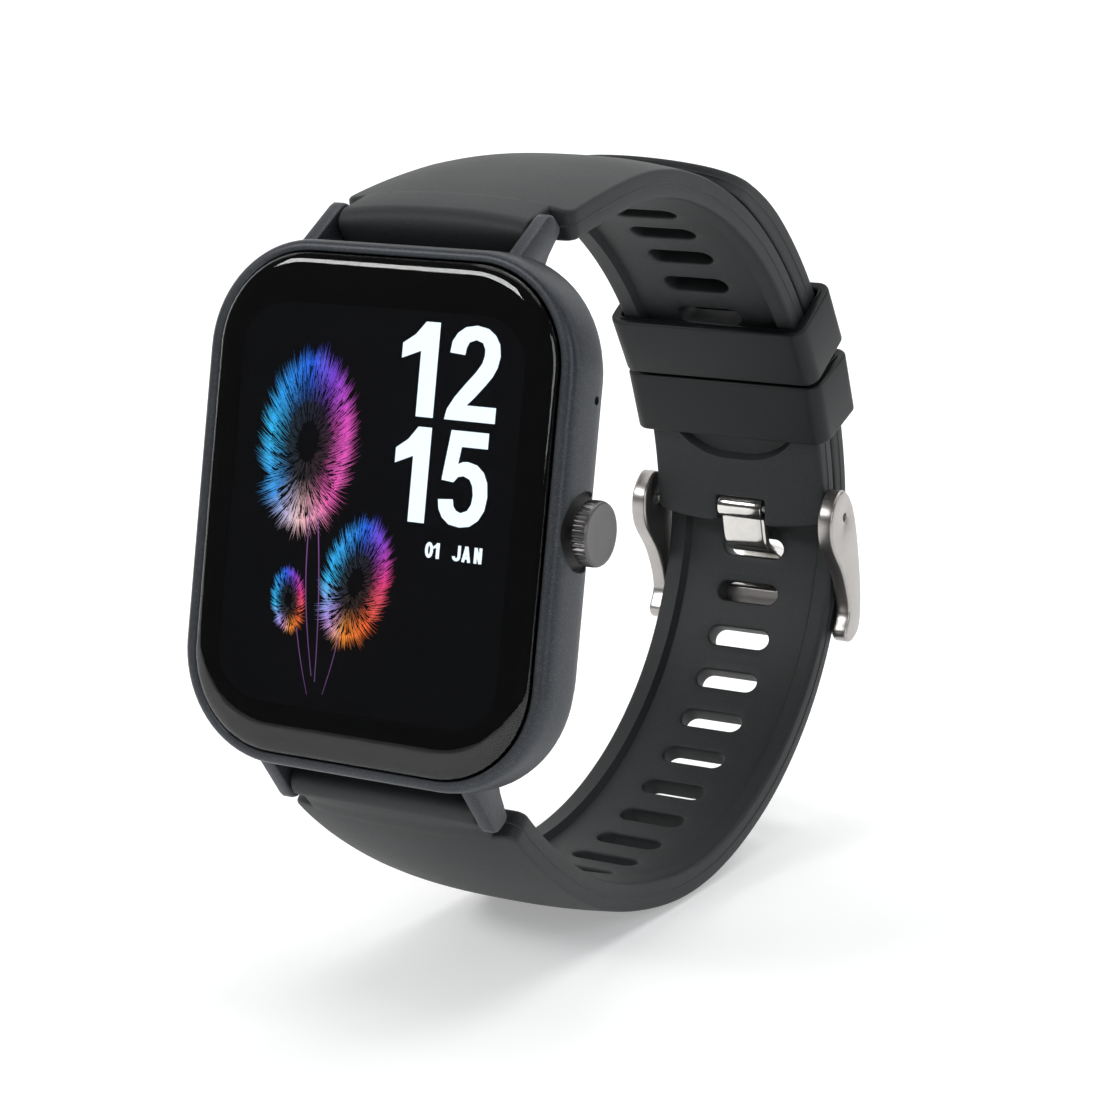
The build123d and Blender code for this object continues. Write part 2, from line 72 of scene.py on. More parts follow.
STRAP_T, CHANNEL, RIM = 2.8, 0.8, 1.9
LOOP_Y, LOOP_Z, LOOP_R = 33.8, -9.75, 43.5
LAYER_GAP = 0.3
OUTER_R = LOOP_R + LAYER_GAP + STRAP_T
SLOT_L, SLOT_W = 7.2, 2.3
CHANNEL_START, CHANNEL_END = 33.5, 78.0
SHORT_SLOTS = [39.2 + 5.0 * i for i in range(7)]
LONG_SLOTS = [39.1 + 5.4 * i for i in range(17)]
TANG_SLOT = LONG_SLOTS[10]
KEEPER_WALL, KEEPER_L = 1.15, 6.9
KEEPER_ANGLES = {"keeper_upper": 43.0, "keeper_lower": 32.5}
BUCKLE_Y, BUCKLE_Z = 74.0, 1.1
CHEEK_IN, CHEEK_OUT = 10.35, 12.1
CROSSBAR_Y, CROSSBAR_Z, CROSSBAR_H = 79.75, -9.8, 4.3
TANG_W, TANG_T = 5.2, 1.1

CAMERA_AZ, CAMERA_EL, CAMERA_ROLL = 29.472, 3.274, 5.168    # degrees, in the drawing frame
CAMERA_AT = (142.4, -219.7, 13.1)
CAMERA_LENS = 98.18

TURN = Matrix.Rotation(-math.radians(LEAN), 3, "X")
low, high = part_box("crown_plunger")
DROP = (Vector(low) + Vector(high)) * 500 - TURN @ Vector((PLUNGER_X, CROWN_Y, CROWN_Z))


def place(x, y, z):
    """A drawing point as a point of the row frame, in metres."""
    return (TURN @ Vector((x, y, z)) + DROP) / 1000


# ---- materials ----------------------------------------------------------------------------------
def shader_node(mat, kind, **values):
    """A new shader node with some inputs set."""
    made = mat.node_tree.nodes.new("ShaderNode" + kind)
    for socket, value in values.items():
        made.inputs[socket.replace("_", " ")].default_value = value
    return made


def principled(name, **sockets):
    """A new material, its links and its shader with some inputs set."""
    mat = bpy.data.materials.new(name)
    mat.use_nodes = True
    shader = mat.node_tree.nodes["Principled BSDF"]
    for socket, value in sockets.items():
        shader.inputs[socket.replace("_", " ")].default_value = value
    return mat, mat.node_tree.links, shader


def ramp(mat, source, stops):
    """The colour of a ramp over a value, from (position, colour) stops."""
    made = shader_node(mat, "ValToRGB")
    elements = made.color_ramp.elements
    while len(elements) < len(stops):
        elements.new(0.5)
    for element, (position, colour) in zip(elements, stops):
        element.position = position
        element.color = (*colour, 1)
    mat.node_tree.links.new(source, made.inputs["Fac"])
    return made.outputs["Color"]


def weighted(mat, source, factor, extra=None):
    """A value times a factor, plus another value."""
    made = shader_node(mat, "Math")
    made.operation = "MULTIPLY" if extra is None else "MULTIPLY_ADD"
    made.inputs[1].default_value = factor
    mat.node_tree.links.new(source, made.inputs[0])
    if extra is not None:
        mat.node_tree.links.new(extra, made.inputs[2])
    return made.outputs[0]


def relief(mat, height, strength, distance):
    """Gives the material's shader a bumped normal."""
    links = mat.node_tree.links
    bumps = shader_node(mat, "Bump", Strength=strength, Distance=distance)
    links.new(height, bumps.inputs["Height"])
    links.new(bumps.outputs["Normal"], mat.node_tree.nodes["Principled BSDF"].inputs["Normal"])


def material(name, colour, rough, metallic=0.0, grain=0.15, scale=900.0, bump=0.15, spots=0.0, **sockets):
    """A Principled finish whose colour, roughness and normal carry a fine procedural grain."""
    mat, links, shader = principled(name, Metallic=metallic, **sockets)
    where = shader_node(mat, "TexCoord").outputs["Object"]
    fine = shader_node(mat, "TexNoise", Scale=scale, Detail=5)
    broad = shader_node(mat, "TexNoise", Scale=scale / 14, Detail=3)
    for noise in (fine, broad):
        links.new(where, noise.inputs["Vector"])
    mix = weighted(mat, fine.outputs["Fac"], 0.6, weighted(mat, broad.outputs["Fac"], 0.4))
    tint = ramp(mat, mix, [(0.3, [c * (1 - grain) for c in colour]),
                           (0.7, [min(1, c * (1 + grain)) for c in colour])])
    if spots:
        flake = shader_node(mat, "TexVoronoi", Scale=9500)
        links.new(where, flake.inputs["Vector"])
        glint = ramp(mat, flake.outputs["Color"], [(0.62, (0, 0, 0)), (0.98, (spots, spots, spots * 1.05))])
        total = shader_node(mat, "MixRGB", Fac=1)
        total.blend_type = "ADD"
        links.new(tint, total.inputs["Color1"])
        links.new(glint, total.inputs["Color2"])
        tint = total.outputs["Color"]
    links.new(tint, shader.inputs["Base Color"])
    spread = shader_node(mat, "MapRange", To_Min=rough * 0.85, To_Max=rough * 1.15)
    links.new(mix, spread.inputs["Value"])
    links.new(spread.outputs["Result"], shader.inputs["Roughness"])
    if bump:
        relief(mat, fine.outputs["Fac"], bump, 0.00003)
    return mat


def brushed(name, colour, rough, stretch, **sockets):
    """A metal finish with fine lines along one drawing axis."""
    mat = material(name, colour, rough, metallic=1.0, grain=0.06, scale=1500, bump=0.0, **sockets)
    links = mat.node_tree.links
    mapping = shader_node(mat, "Mapping", Scale=stretch)
    lines = shader_node(mat, "TexNoise", Scale=1200)
    links.new(shader_node(mat, "TexCoord").outputs["Object"], mapping.inputs["Vector"])
    links.new(mapping.outputs["Vector"], lines.inputs["Vector"])
    relief(mat, lines.outputs["Fac"], 0.12, 0.00002)
    return mat


def glowing(name, stops, strength):
    """Light given off along a strand: UV x runs from root to tip, UV y picks the hue."""
    mat, links, shader = principled(name, Base_Color=(0.004, 0.004, 0.006, 1), Roughness=0.5)
    uv = shader_node(mat, "UVMap")
    uv.uv_map = "glow"
    split = shader_node(mat, "SeparateXYZ")
    links.new(uv.outputs["UV"], split.inputs[0])
    links.new(ramp(mat, split.outputs["Y"], stops), shader.inputs["Emission Color"])
    fade = ramp(mat, split.outputs["X"], [(0.0, [0.02] * 3), (0.45, [1] * 3), (1.0, [0.25] * 3)])
    links.new(weighted(mat, fade, strength), shader.inputs["Emission Strength"])
    return mat


CASE = material("case_paint", (0.036, 0.040, 0.047), 0.42, metallic=0.5, grain=0.16, scale=3200, bump=0.22,
                spots=0.035)
SILICONE = material("strap_silicone", (0.0165, 0.0185, 0.0195), 0.56, grain=0.14, scale=2200, bump=0.35,
                    spots=0.010, Specular_IOR_Level=0.36)
# The keepers get the strap silicone painted about half as dark, with a lower specular level: painted shade on
# the keepers.
KEEPER_SILICONE_SHADED = material("keeper_silicone", (0.0075, 0.0085, 0.0095), 0.5, grain=0.12, scale=2200, bump=0.25,
                       Specular_IOR_Level=0.3)
GLASS = material("glass", (0.93, 0.95, 0.96), 0.015, grain=0.01, bump=0.0, Transmission_Weight=1.0, IOR=1.5)
PANEL = material("display_black", (0.0042, 0.0044, 0.0062), 0.5, grain=0.08, scale=3000, bump=0.02,
                 Specular_IOR_Level=0.05)
INK = material("border_black", (0.0022, 0.0022, 0.0025), 0.6, grain=0.05, scale=3000, bump=0.0,
               Specular_IOR_Level=0.05)
CROWN_METAL = material("crown_metal", (0.115, 0.110, 0.110), 0.34, metallic=0.85, grain=0.08, scale=3500,
                       bump=0.12)
CHEEK_STEEL = brushed("buckle_steel", (0.42, 0.40, 0.385), 0.30, (1, 0.12, 0.12))
TANG_STEEL = brushed("tang_steel", (0.72, 0.70, 0.67), 0.15, (0.1, 1, 1))
BAR_STEEL = brushed("bar_steel", (0.45, 0.45, 0.45), 0.28, (0.1, 1, 1))
BACK_PLASTIC = material("back_plastic", (0.018, 0.018, 0.020), 0.45, grain=0.12, scale=2600, bump=0.3)
WINDOW = material("window", (0.004, 0.004, 0.005), 0.07, grain=0.05, bump=0.0, Coat_Weight=0.5)
GOLD = material("contact_gold", (0.78, 0.56, 0.26), 0.24, metallic=1.0, grain=0.06, scale=2500, bump=0.1)
SEAL = material("seal", (0.012, 0.012, 0.012), 0.6, bump=0.2)
BOARD = material("board", (0.012, 0.07, 0.035), 0.4, grain=0.3, scale=1200, bump=0.2)
CHIP = material("chip", (0.015, 0.015, 0.016), 0.5, bump=0.2)
FOIL = material("foil", (0.5, 0.5, 0.51), 0.32, metallic=0.9, scale=500, bump=0.4)
FILM = material("film", (0.45, 0.2, 0.04), 0.35, scale=600, bump=0.1)
LED = material("led", (0.25, 0.4, 0.25), 0.3, scale=1500, bump=0.1)
SHEET = material("light_sheet", (0.7, 0.7, 0.7), 0.25, scale=1500, bump=0.05)

CAD_FINISH = {
    "tape": INK, "display": PANEL, "light_guide": SHEET, "flex": FILM, "board": BOARD, "chips": CHIP,
    "inner_plastic": BACK_PLASTIC, "battery_foil": FOIL, "steel": BAR_STEEL, "seal": SEAL, "led": LED,
    "contacts": GOLD, "sensor_window": WINDOW, "back_plastic": BACK_PLASTIC, "crown_metal": CROWN_METAL,
    "cover_glass": GLASS, "case_metal": CASE, "silicone": SILICONE, "keeper_silicone": KEEPER_SILICONE_SHADED,
    "buckle_steel": CHEEK_STEEL, "tang_steel": TANG_STEEL,
}
for part in frame["record"]["subparts"]:
    node = frame["nodes"][part["node"]]
    node.data.materials.clear()
    node.data.materials.append(CAD_FINISH[part["material_slot"]])


# ---- mesh helpers -------------------------------------------------------------------------------
def add(name, points, faces, finish, body, slot, nodes=(), angle=32, closed=True, uv=None):
    """One piece from drawing points and faces, riding on a CAD body."""
    mesh = bpy.data.meshes.new(name)
    mesh.from_pydata([place(*p) for p in points], [], faces)
    if uv:
        layer = mesh.uv_layers.new(name="glow")
        for loop in mesh.loops:
            layer.data[loop.index].uv = uv[loop.vertex_index]
    if closed:
        work = bmesh.new()
        work.from_mesh(mesh)
        bmesh.ops.remove_doubles(work, verts=work.verts, dist=2e-6)
        bmesh.ops.recalc_face_normals(work, faces=work.faces)
        work.to_mesh(mesh)
        work.free()
    mesh.shade_smooth()
    mesh.set_sharp_from_angle(angle=math.radians(angle))
    mesh.materials.append(finish)
    piece = bpy.data.objects.new(name, mesh)
    bpy.context.scene.collection.objects.link(piece)
    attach(piece, body)
    if nodes:
        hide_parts(*nodes)
    return piece


def loft(rings, closed=False, caps=(True, True)):
    """Points and faces of a skin through equal rings."""
    count = len(rings[0])
    points = [p for ring in rings for p in ring]
    spans = len(rings) if closed else len(rings) - 1
    faces = []
    for i in range(spans):
        a, b = i * count, (i + 1) % len(rings) * count
        faces += [(a + j, a + (j + 1) % count, b + (j + 1) % count, b + j) for j in range(count)]
    if not closed and caps[0]:
        faces.append(tuple(reversed(range(count))))
    if not closed and caps[1]:
        faces.append(tuple(range(len(points) - count, len(points))))
    return points, faces


def join(*parts):
    """Several (points, faces) as one."""
    points, faces = [], []
    for some, more in parts:
        faces += [tuple(i + len(points) for i in face) for face in more]
        points += some
    return points, faces


def rounded(half_w, half_h, radius, arc=16, straight=10):
    """A rounded rectangle, anticlockwise, as (u, v) points."""
    corners = []
    for k, (su, sv) in enumerate(((1, 1), (-1, 1), (-1, -1), (1, -1))):
        centre = (su * (half_w - radius), sv * (half_h - radius))
        corners.append([(centre[0] + radius * math.cos(math.pi / 2 * (k + i / arc)),
                         centre[1] + radius * math.sin(math.pi / 2 * (k + i / arc))) for i in range(arc + 1)])
    ring = []
    for k, corner in enumerate(corners):
        ring += corner
        end, start = corner[-1], corners[(k + 1) % 4][0]
        ring += [(end[0] + (start[0] - end[0]) * i / straight, end[1] + (start[1] - end[1]) * i / straight)
                 for i in range(1, straight)]
    return ring


def normals(loop):
    """Outward normals of an anticlockwise closed loop of (u, v) points."""
    out = []
    for i, here in enumerate(loop):
        before, after = loop[i - 1], loop[(i + 1) % len(loop)]
        du, dv = after[0] - before[0], after[1] - before[1]
        size = math.hypot(du, dv) or 1
        out.append((dv / size, -du / size))
    return out


def inside(point, loop):
    """True if a (u, v) point lies within a closed loop."""
    u, v = point
    hit = False
    for (u0, v0), (u1, v1) in zip(loop, loop[1:] + loop[:1]):
        if (v0 > v) != (v1 > v) and u < (u1 - u0) * (v - v0) / (v1 - v0) + u0:
            hit = not hit
    return hit


def fill(outer, holes, creases, grid):
    """Flat triangles between an outline and its holes, through grid points kept clear of the loops."""
    loops = [outer] + holes + creases
    cells = {}
    for loop in loops:
        for u, v in loop:
            cells.setdefault((round(u), round(v)), []).append((u, v))

    def clear(u, v):
        near = [p for i in (-1, 0, 1) for j in (-1, 0, 1)
                for p in cells.get((round(u) + i, round(v) + j), ())]
        return all((u - a) ** 2 + (v - b) ** 2 > 0.16 for a, b in near)

    boxes = [(min(p[0] for p in h), max(p[0] for p in h), min(p[1] for p in h), max(p[1] for p in h), h)
             for h in holes]

    def solid(u, v):
        return inside((u, v), outer) and not any(a < u < b and c < v < d and inside((u, v), h)
                                                 for a, b, c, d, h in boxes)

    points = [Vector(p) for loop in loops for p in loop]
    edges, start = [], 0
    for loop in loops:
        edges += [(start + i, start + (i + 1) % len(loop)) for i in range(len(loop))]
        start += len(loop)
    points += [Vector(p) for p in grid if clear(*p) and solid(*p)]
    verts, _, faces, *_ = delaunay_2d_cdt(points, edges, [], 0, 1e-5)
    kept = [f for f in faces
            if solid(sum(verts[i][0] for i in f) / len(f), sum(verts[i][1] for i in f) / len(f))]
    return [tuple(v) for v in verts], kept


def plate(outer, holes, grid, rim, walls, shape, creases=((), ())):
    """A closed plate over a flat outline with holes: two faces, and rounded walls between them.

    rim and walls (of the holes) list (offset, level) from one face to the other, and shape(u, v, level)
    gives the drawing point.
    """
    parts = []
    for level, lines in ((rim[0][1], creases[0]), (rim[-1][1], creases[1])):
        verts, faces = fill(outer, holes, list(lines), grid)
        parts.append(([shape(u, v, level) for u, v in verts], faces))
    for loop, sign, steps in [(outer, 1, rim)] + [(h, -1, walls) for h in holes]:
        out = normals(loop)
        rings = [[shape(u + sign * n[0] * off, v + sign * n[1] * off, level)
                  for (u, v), n in zip(loop, out)] for off, level in steps]
        parts.append(loft(rings, caps=(False, False)))
    return join(*parts)


def quarter(radius, steps):
    """The (offset, depth) points of a rounded edge, from its flat face to its wall."""
    angles = [math.pi / 2 * i / steps for i in range(steps + 1)]
    return [(radius * math.sin(a), radius * (1 - math.cos(a))) for a in angles]


def smooth_step(value, start, end):
    """0 before start, 1 after end, eased between."""
    t = min(1, max(0, (value - start) / (end - start)))
    return t * t * (3 - 2 * t)


# ---- the strap's line ---------------------------------------------------------------------------
def on_loop(radius, degrees):
    """A point of a circle about the strap's loop centre."""
    a = math.radians(degrees)
    return LOOP_Y + radius * math.cos(a), LOOP_Z + radius * math.sin(a)


def biarc(p0, h0, p1, h1):
    """The two tangent arcs that join two points with headings, as (length, turn)."""
    t0, t1 = (math.cos(h0), math.sin(h0)), (math.cos(h1), math.sin(h1))
    v = (p1[0] - p0[0], p1[1] - p0[1])
    along = v[0] * (t0[0] + t1[0]) + v[1] * (t0[1] + t1[1])
    spread = 2 * (1 - t0[0] * t1[0] - t0[1] * t1[1])
    d = (-along + math.sqrt(along**2 + spread * (v[0] ** 2 + v[1] ** 2))) / spread
    middle = [(p0[k] + p1[k] + d * (t0[k] - t1[k])) / 2 for k in (0, 1)]
    arcs = []
    for point, tangent, sign in ((p0, t0, 1), (p1, t1, -1)):
        chord = [(middle[k] - point[k]) * sign for k in (0, 1)]
        half = math.atan2(tangent[0] * chord[1] - tangent[1] * chord[0],
                          tangent[0] * chord[0] + tangent[1] * chord[1])
        arcs.append((math.hypot(*chord) * half / math.sin(half), 2 * half * sign))
    return arcs


class Ribbon:
    """A strap's outer edge line, seen from the side."""

    def __init__(self, nodes, inward):
        self.nodes, self.inward = nodes, inward
        self.arcs = []
        for (y0, z0, h0), (y1, z1, h1) in zip(nodes, nodes[1:]):
            self.arcs += biarc((y0, z0), math.radians(h0), (y1, z1), math.radians(h1))
        self.length = sum(length for length, turn in self.arcs)

    def at(self, station):
        """y, z and heading at a length along the line."""
        y, z, heading = self.nodes[0]
        heading = math.radians(heading)
        if station < 0:
            return y + station * math.cos(heading), z + station * math.sin(heading), heading
        for length, turn in self.arcs:
            step = min(station, length)
            bend = turn * step / length
            chord = step if abs(bend) < 1e-9 else step * math.sin(bend / 2) / (bend / 2)
            y += chord * math.cos(heading + bend / 2)
            z += chord * math.sin(heading + bend / 2)
            heading += bend
            station -= step
        return y, z, heading

    def point(self, station, depth):
        """The (y, z) point that lies depth inside the line."""
        y, z, heading = self.at(station)
        return y + self.inward * depth * math.sin(heading), z - self.inward * depth * math.cos(heading)


START, SHORT_END, LONG_JOIN, TAIL_END = 106.3, 12.6, 21.0, 84.0
SHORT = Ribbon([(7.7, 26.9, 24.5), (*on_loop(LOOP_R, START), START - 90),
                (*on_loop(LOOP_R, SHORT_END), SHORT_END - 90)], 1)
LONG = Ribbon([(7.9, -26.6, -38), (17.5, -32.3, -25), (32.7, -37.2, -8.6), (56.3, -35.3, 21.5),
               (74.3, -20.8, 57), (79.3, -6, 85), (*on_loop(OUTER_R, LONG_JOIN), LONG_JOIN + 90),
               (*on_loop(OUTER_R, TAIL_END), TAIL_END + 90)], -1)


# ---- straps -------------------------------------------------------------------------------------
SHOULDER = 1.9               # station where the strap steps out from its neck
EDGE = 0.32                  # rounding of the strap's edges
SLOT_EDGE = 0.22
CHANNEL_R = 6.9              # corners of the inner channel
NOTCH_W, NOTCH_L = 3.2, 3.2  # half width and length of the notch that the tang's roll sits in


def half_width(station):
    """Half the strap's width at a station."""
    taper = SHOULDER_W / 2 + (STRAP_W / 2 + 0.2 - SHOULDER_W / 2) * smooth_step(station, -2, 36)
    return taper - 0.2 * smooth_step(station, 34, 60)


def strap_outline(end, tip, notched):
    """The strap from above, anticlockwise in (x, station), already drawn in by the edge rounding."""
    near, far = SHOULDER + EDGE, end - EDGE
    corner = 0.7
    side = [near + corner + (far - tip - near - corner) * i / 160 for i in range(161)]
    right = [(half_width(s) - EDGE, s) for s in side]
    w0, w1 = right[0][0], right[-1][0]
    shoulder = [(w0 - corner + corner * math.sin(a), near + corner - corner * math.cos(a))
                for a in (math.pi / 12 * i for i in range(6))]
    cap = [(w1 * math.cos(a), far - tip + tip * math.sin(a)) for a in (math.pi / 48 * i for i in range(1, 24))]
    middle = [(0, far)]
    if notched:
        cap = [p for p in cap if p[0] > NOTCH_W + 0.4]
        cap += [(NOTCH_W + 0.25, far - 0.04), (NOTCH_W + 0.06, far - 0.14)]
        cap += [(NOTCH_W, far - 0.35 - 0.45 * i) for i in range(6)]
        cap += [(NOTCH_W - 0.1, far - NOTCH_L + 0.25), (NOTCH_W - 0.35, far - NOTCH_L + 0.06)]
        cap += [(x, far - NOTCH_L) for x in (2.4, 1.6, 0.8)]
        middle = [(0, far - NOTCH_L)]
    half = shoulder + right + cap
    front = [((w0 - corner) * (i / 12 - 1), near) for i in range(1, 24)]
    return half + middle + [(-x, s) for x, s in reversed(half)] + front


def oblong(station, grow=0.0, steps=12):
    """A slot's outline, anticlockwise, about x = 0."""
    radius = SLOT_W / 2 + grow
    reach = SLOT_L / 2 - SLOT_W / 2
    right = [(reach + radius * math.cos(a), station + radius * math.sin(a))
             for a in (math.pi * (i / steps - 0.5) for i in range(steps + 1))]
    top = [(reach * (1 - i / 2), station + radius) for i in range(1, 4)]
    return right + top + [(-x, 2 * station - s) for x, s in right] + [(-x, 2 * station - s) for x, s in top]


def channel_outline(start, end, draw_in):
    """The edge of the inner channel with rounded ends."""
    half = STRAP_W / 2 - RIM - draw_in
    mid, tall = (start + end) / 2, (end - start) / 2 - draw_in
    return [(u, mid + v) for u, v in rounded(half, tall, CHANNEL_R - draw_in, 14, 70)]


def in_channel(x, station, start, end):
    """How deep a point lies within the channel's edge, negative outside."""
    half, tall, radius = STRAP_W / 2 - RIM, (end - start) / 2, CHANNEL_R
    du = abs(x) - (half - radius)
    dv = abs(station - (start + end) / 2) - (tall - radius)
    if du > 0 and dv > 0:
        return radius - math.hypot(du, dv)
    return radius - max(du, dv)


def crown_height(station, near_lug):
    """How far the domed outer face stands above its edges."""
    return 0.22 + (near_lug - 0.22) * (1 - smooth_step(station, 18, 38))


def strap_skin(ribbon, slots, channel, near_lug, tip, thin):
    """Points and faces of one strap, without its neck."""
    end = ribbon.length

    def taper(station):
        return thin * smooth_step(station, end - 18, end) if thin else 0

    def shape(x, station, level):
        face, depth = level
        u = min(1, abs(x) / (half_width(station) - EDGE))
        if face == "outer":
            rise = crown_height(station, near_lug) * (1 - u**2.6) * (1 - smooth_step(station, end - 12, end))
            depth += taper(station) - rise
        elif face == "inner":
            sunk = CHANNEL * smooth_step(in_channel(x, station, *channel), 0, 0.45)
            depth = STRAP_T - sunk - depth
        else:
            depth += (taper(station) + STRAP_T) / 2
        return (x, *ribbon.point(station, depth))

    arc = quarter(EDGE, 4)
    seam = [(EDGE + 0.03, -0.45), (EDGE + 0.03, -0.12), (EDGE + 0.11, -0.04), (EDGE + 0.11, 0.04),
            (EDGE + 0.03, 0.12), (EDGE + 0.03, 0.45)]
    rim = ([(o, ("outer", d)) for o, d in arc] + [(o, ("middle", d)) for o, d in seam]
           + [(o, ("inner", d)) for o, d in reversed(arc)])
    small = quarter(SLOT_EDGE, 3)
    walls = ([(o, ("outer", d)) for o, d in small] + [(SLOT_EDGE, ("middle", 0))]
             + [(o, ("inner", d)) for o, d in reversed(small)])
    grid = [(x * 1.02, s * 0.9) for s in range(int(end / 0.9) + 1) for x in range(-12, 13)]
    creases = [channel_outline(*channel, draw_in) for draw_in in (0.0, 0.22, 0.45)]
    holes = [oblong(s, SLOT_EDGE) for s in slots]
    return plate(strap_outline(end, tip, not thin), holes, grid, rim, walls, shape, ((), creases))


def neck(ribbon, sign, near_lug, reach=1.62, edge=0.3):
    """The strap's neck: a domed roll round the spring bar that runs into the shoulders."""
    heading, facing = ribbon.at(0)[2], ribbon.inward
    out = Vector((-facing * math.sin(heading), facing * math.cos(heading)))
    ahead = Vector((math.cos(heading), math.sin(heading)))
    centre = Vector((BAR_Y, sign * BAR_Z))
    base = (Vector(ribbon.point(0, 0)) - centre).dot(out)
    under = max(STRAP_T - base, 2.6)
    # (station, dip): the roll's top dives under the strap's skin behind the shoulders
    stations = [(3.6, 0.35), (2.9, 0.04), (2.5, -0.01), (1.8, -0.01), (1.0, -0.01), (0.3, -0.01)]

    def section(x):
        rise = near_lug * (1 - (abs(x) / 11.6) ** 2.6)
        over = max(base + rise, 1.3)
        line = [ribbon.point(s, dip - rise) for s, dip in stations]
        for i in range(23):
            a = math.pi * i / 22
            line.append(tuple(centre + out * math.cos(a) * (over if i < 11 else under)
                              - ahead * math.sin(a) * reach))
        line += [ribbon.point(s, STRAP_T - 0.05) for s, dip in reversed(stations)]
        return line if facing > 0 else line[::-1]

    middle = section(0)
    area = sum(a[0] * b[1] - b[0] * a[1] for a, b in zip(middle, middle[1:] + middle[:1]))
    flip = 1 if area > 0 else -1
    half = NECK_W / 2
    profile = [(half - edge + edge * math.sin(a), edge * (1 - math.cos(a))) for a in
               (math.pi / 8 * (4 - i) for i in range(5))]
    spans = [(-x, d) for x, d in profile] + [(x, 0) for x in (-8, -6, -4, -2, 0, 2, 4, 6, 8)]
    spans += [(x, d) for x, d in reversed(profile)]
    rings = []
    for x, d in spans:
        loop = section(x)
        rings.append([(x, u - flip * n[0] * d, v - flip * n[1] * d)
                      for (u, v), n in zip(loop, normals(loop))])
    return loft(rings)


add("strap_short_skin", *join(strap_skin(SHORT, SHORT_SLOTS, (CHANNEL_START, CHANNEL_END), 1.0, 1.2, 0),
                              neck(SHORT, 1, 1.0)),
    SILICONE, "case", "silicone", ["strap_short"])
add("strap_long_skin", *join(strap_skin(LONG, LONG_SLOTS, (CHANNEL_START, LONG.length - 12), 0.8, 9.4, 1.2),
                             neck(LONG, -1, 0.8)),
    SILICONE, "case", "silicone", ["strap_long"])


# ---- keepers ------------------------------------------------------------------------------------
def keeper(degrees):
    """A square silicone loop with soft edges round both strap layers."""
    low, high = LOOP_R - STRAP_T - 0.3, OUTER_R + 0.4
    middle, half_t, half_w = (low + high) / 2, (high - low) / 2, STRAP_W / 2 + 0.25
    a = math.radians(degrees)
    radial, along = (math.cos(a), math.sin(a)), (math.sin(a), -math.cos(a))
    edge, half = 0.28, KEEPER_L / 2
    turn = [(edge * (1 - math.cos(t)), edge * (1 - math.sin(t))) for t in (math.pi / 8 * i for i in range(5))]
    outer = [(KEEPER_WALL - d, half - e) for d, e in reversed(turn)]
    inner = [(d, half - e) for d, e in turn]
    profile = ([(o, s) for o, s in outer] + [(o, -s) for o, s in reversed(outer)]
               + [(o, -s) for o, s in inner[::-1]][::-1] + [(o, s) for o, s in inner[::-1]])
    rings = []
    for off, s in profile:
        ring = rounded(half_w + off, half_t + off, 0.45 + off, 10, 12)
        rings.append([(u, LOOP_Y + (middle + v) * radial[0] + s * along[0],
                       LOOP_Z + (middle + v) * radial[1] + s * along[1]) for u, v in ring])
    return loft(rings, closed=True)


for name, degrees in KEEPER_ANGLES.items():
    add(name + "_skin", *keeper(degrees), KEEPER_SILICONE_SHADED, name, "keeper_silicone", [name])


# ---- case ---------------------------------------------------------------------------------------
def barrel():
    """The case ring: glass seat, bezel, sides that draw in behind the waist and the rear edge."""
    glass = (GLASS_W / 2 + 0.14, GLASS_H / 2 + 0.14, GLASS_R + 0.14)
    outer = (CASE_W / 2, CASE_H / 2, CASE_R)

    def ring(blend, offset, y):
        w, h, r = (a + (b - a) * blend for a, b in zip(glass, outer))
        return [(u, y, v) for u, v in rounded(w - offset, h - offset, r - offset, 18, 14)]

    steps = [(0, 0, 2.2), (0, 0, 0.9), (0, 0, 0.34), (0, -0.03, 0.24), (0.1, 0, 0.17), (0.3, 0, 0.15),
             (0.5, 0, 0.18), (0.66, 0, 0.27), (0.79, 0, 0.45), (0.89, 0, 0.74), (0.96, 0, 1.15),
             (1, 0.01, 1.75), (1, -0.03, 2.6), (1, -0.04, 3.4), (1, -0.02, 4.2), (1, 0.03, CASE_WAIST - 0.25),
             (1, 0.12, CASE_WAIST + 0.1)]
    draw_in = math.tan(math.radians(CASE_TAPER))
    steps += [(1, draw_in * (y - CASE_WAIST), y) for y in (5.4, 5.9, 6.4, 6.9, 7.35)]
    inset = draw_in * (CASE_BACK - CASE_WAIST)
    steps += [(1, inset - 0.08, CASE_BACK - 0.1), (1, inset + 0.1, CASE_BACK - 0.03),
              (1, inset + 0.8, CASE_BACK - 0.03), (1, inset + 0.8, 6.0)]
    return loft([ring(*s) for s in steps], caps=(False, False))


def lug(x0, sign):
    """One slanted lug with soft edges."""
    corners = [(1.4, 22.0), (2.0, 22.95), (6.35, 26.85), (6.85, 27.15), (7.5, 27.12), (8.1, 26.75),
               (8.75, 26.25), (8.8, 25.7), (7.3, 23.6), (6.9, 22.8), (6.9, 21.9)]
    loop = [(y, sign * z) for y, z in corners]
    if sign > 0:
        loop.reverse()
    side = normals(loop)
    edge = 0.22
    steps = [(0, edge), (0.06, 0.1), (edge, 0), (LUG_W / 2, 0), (LUG_W - edge, 0), (LUG_W - 0.06, 0.1),
             (LUG_W, edge)]
    rings = [[(x0 + x, u - n[0] * d, v - n[1] * d) for (u, v), n in zip(loop, side)] for x, d in steps]
    return loft(rings)


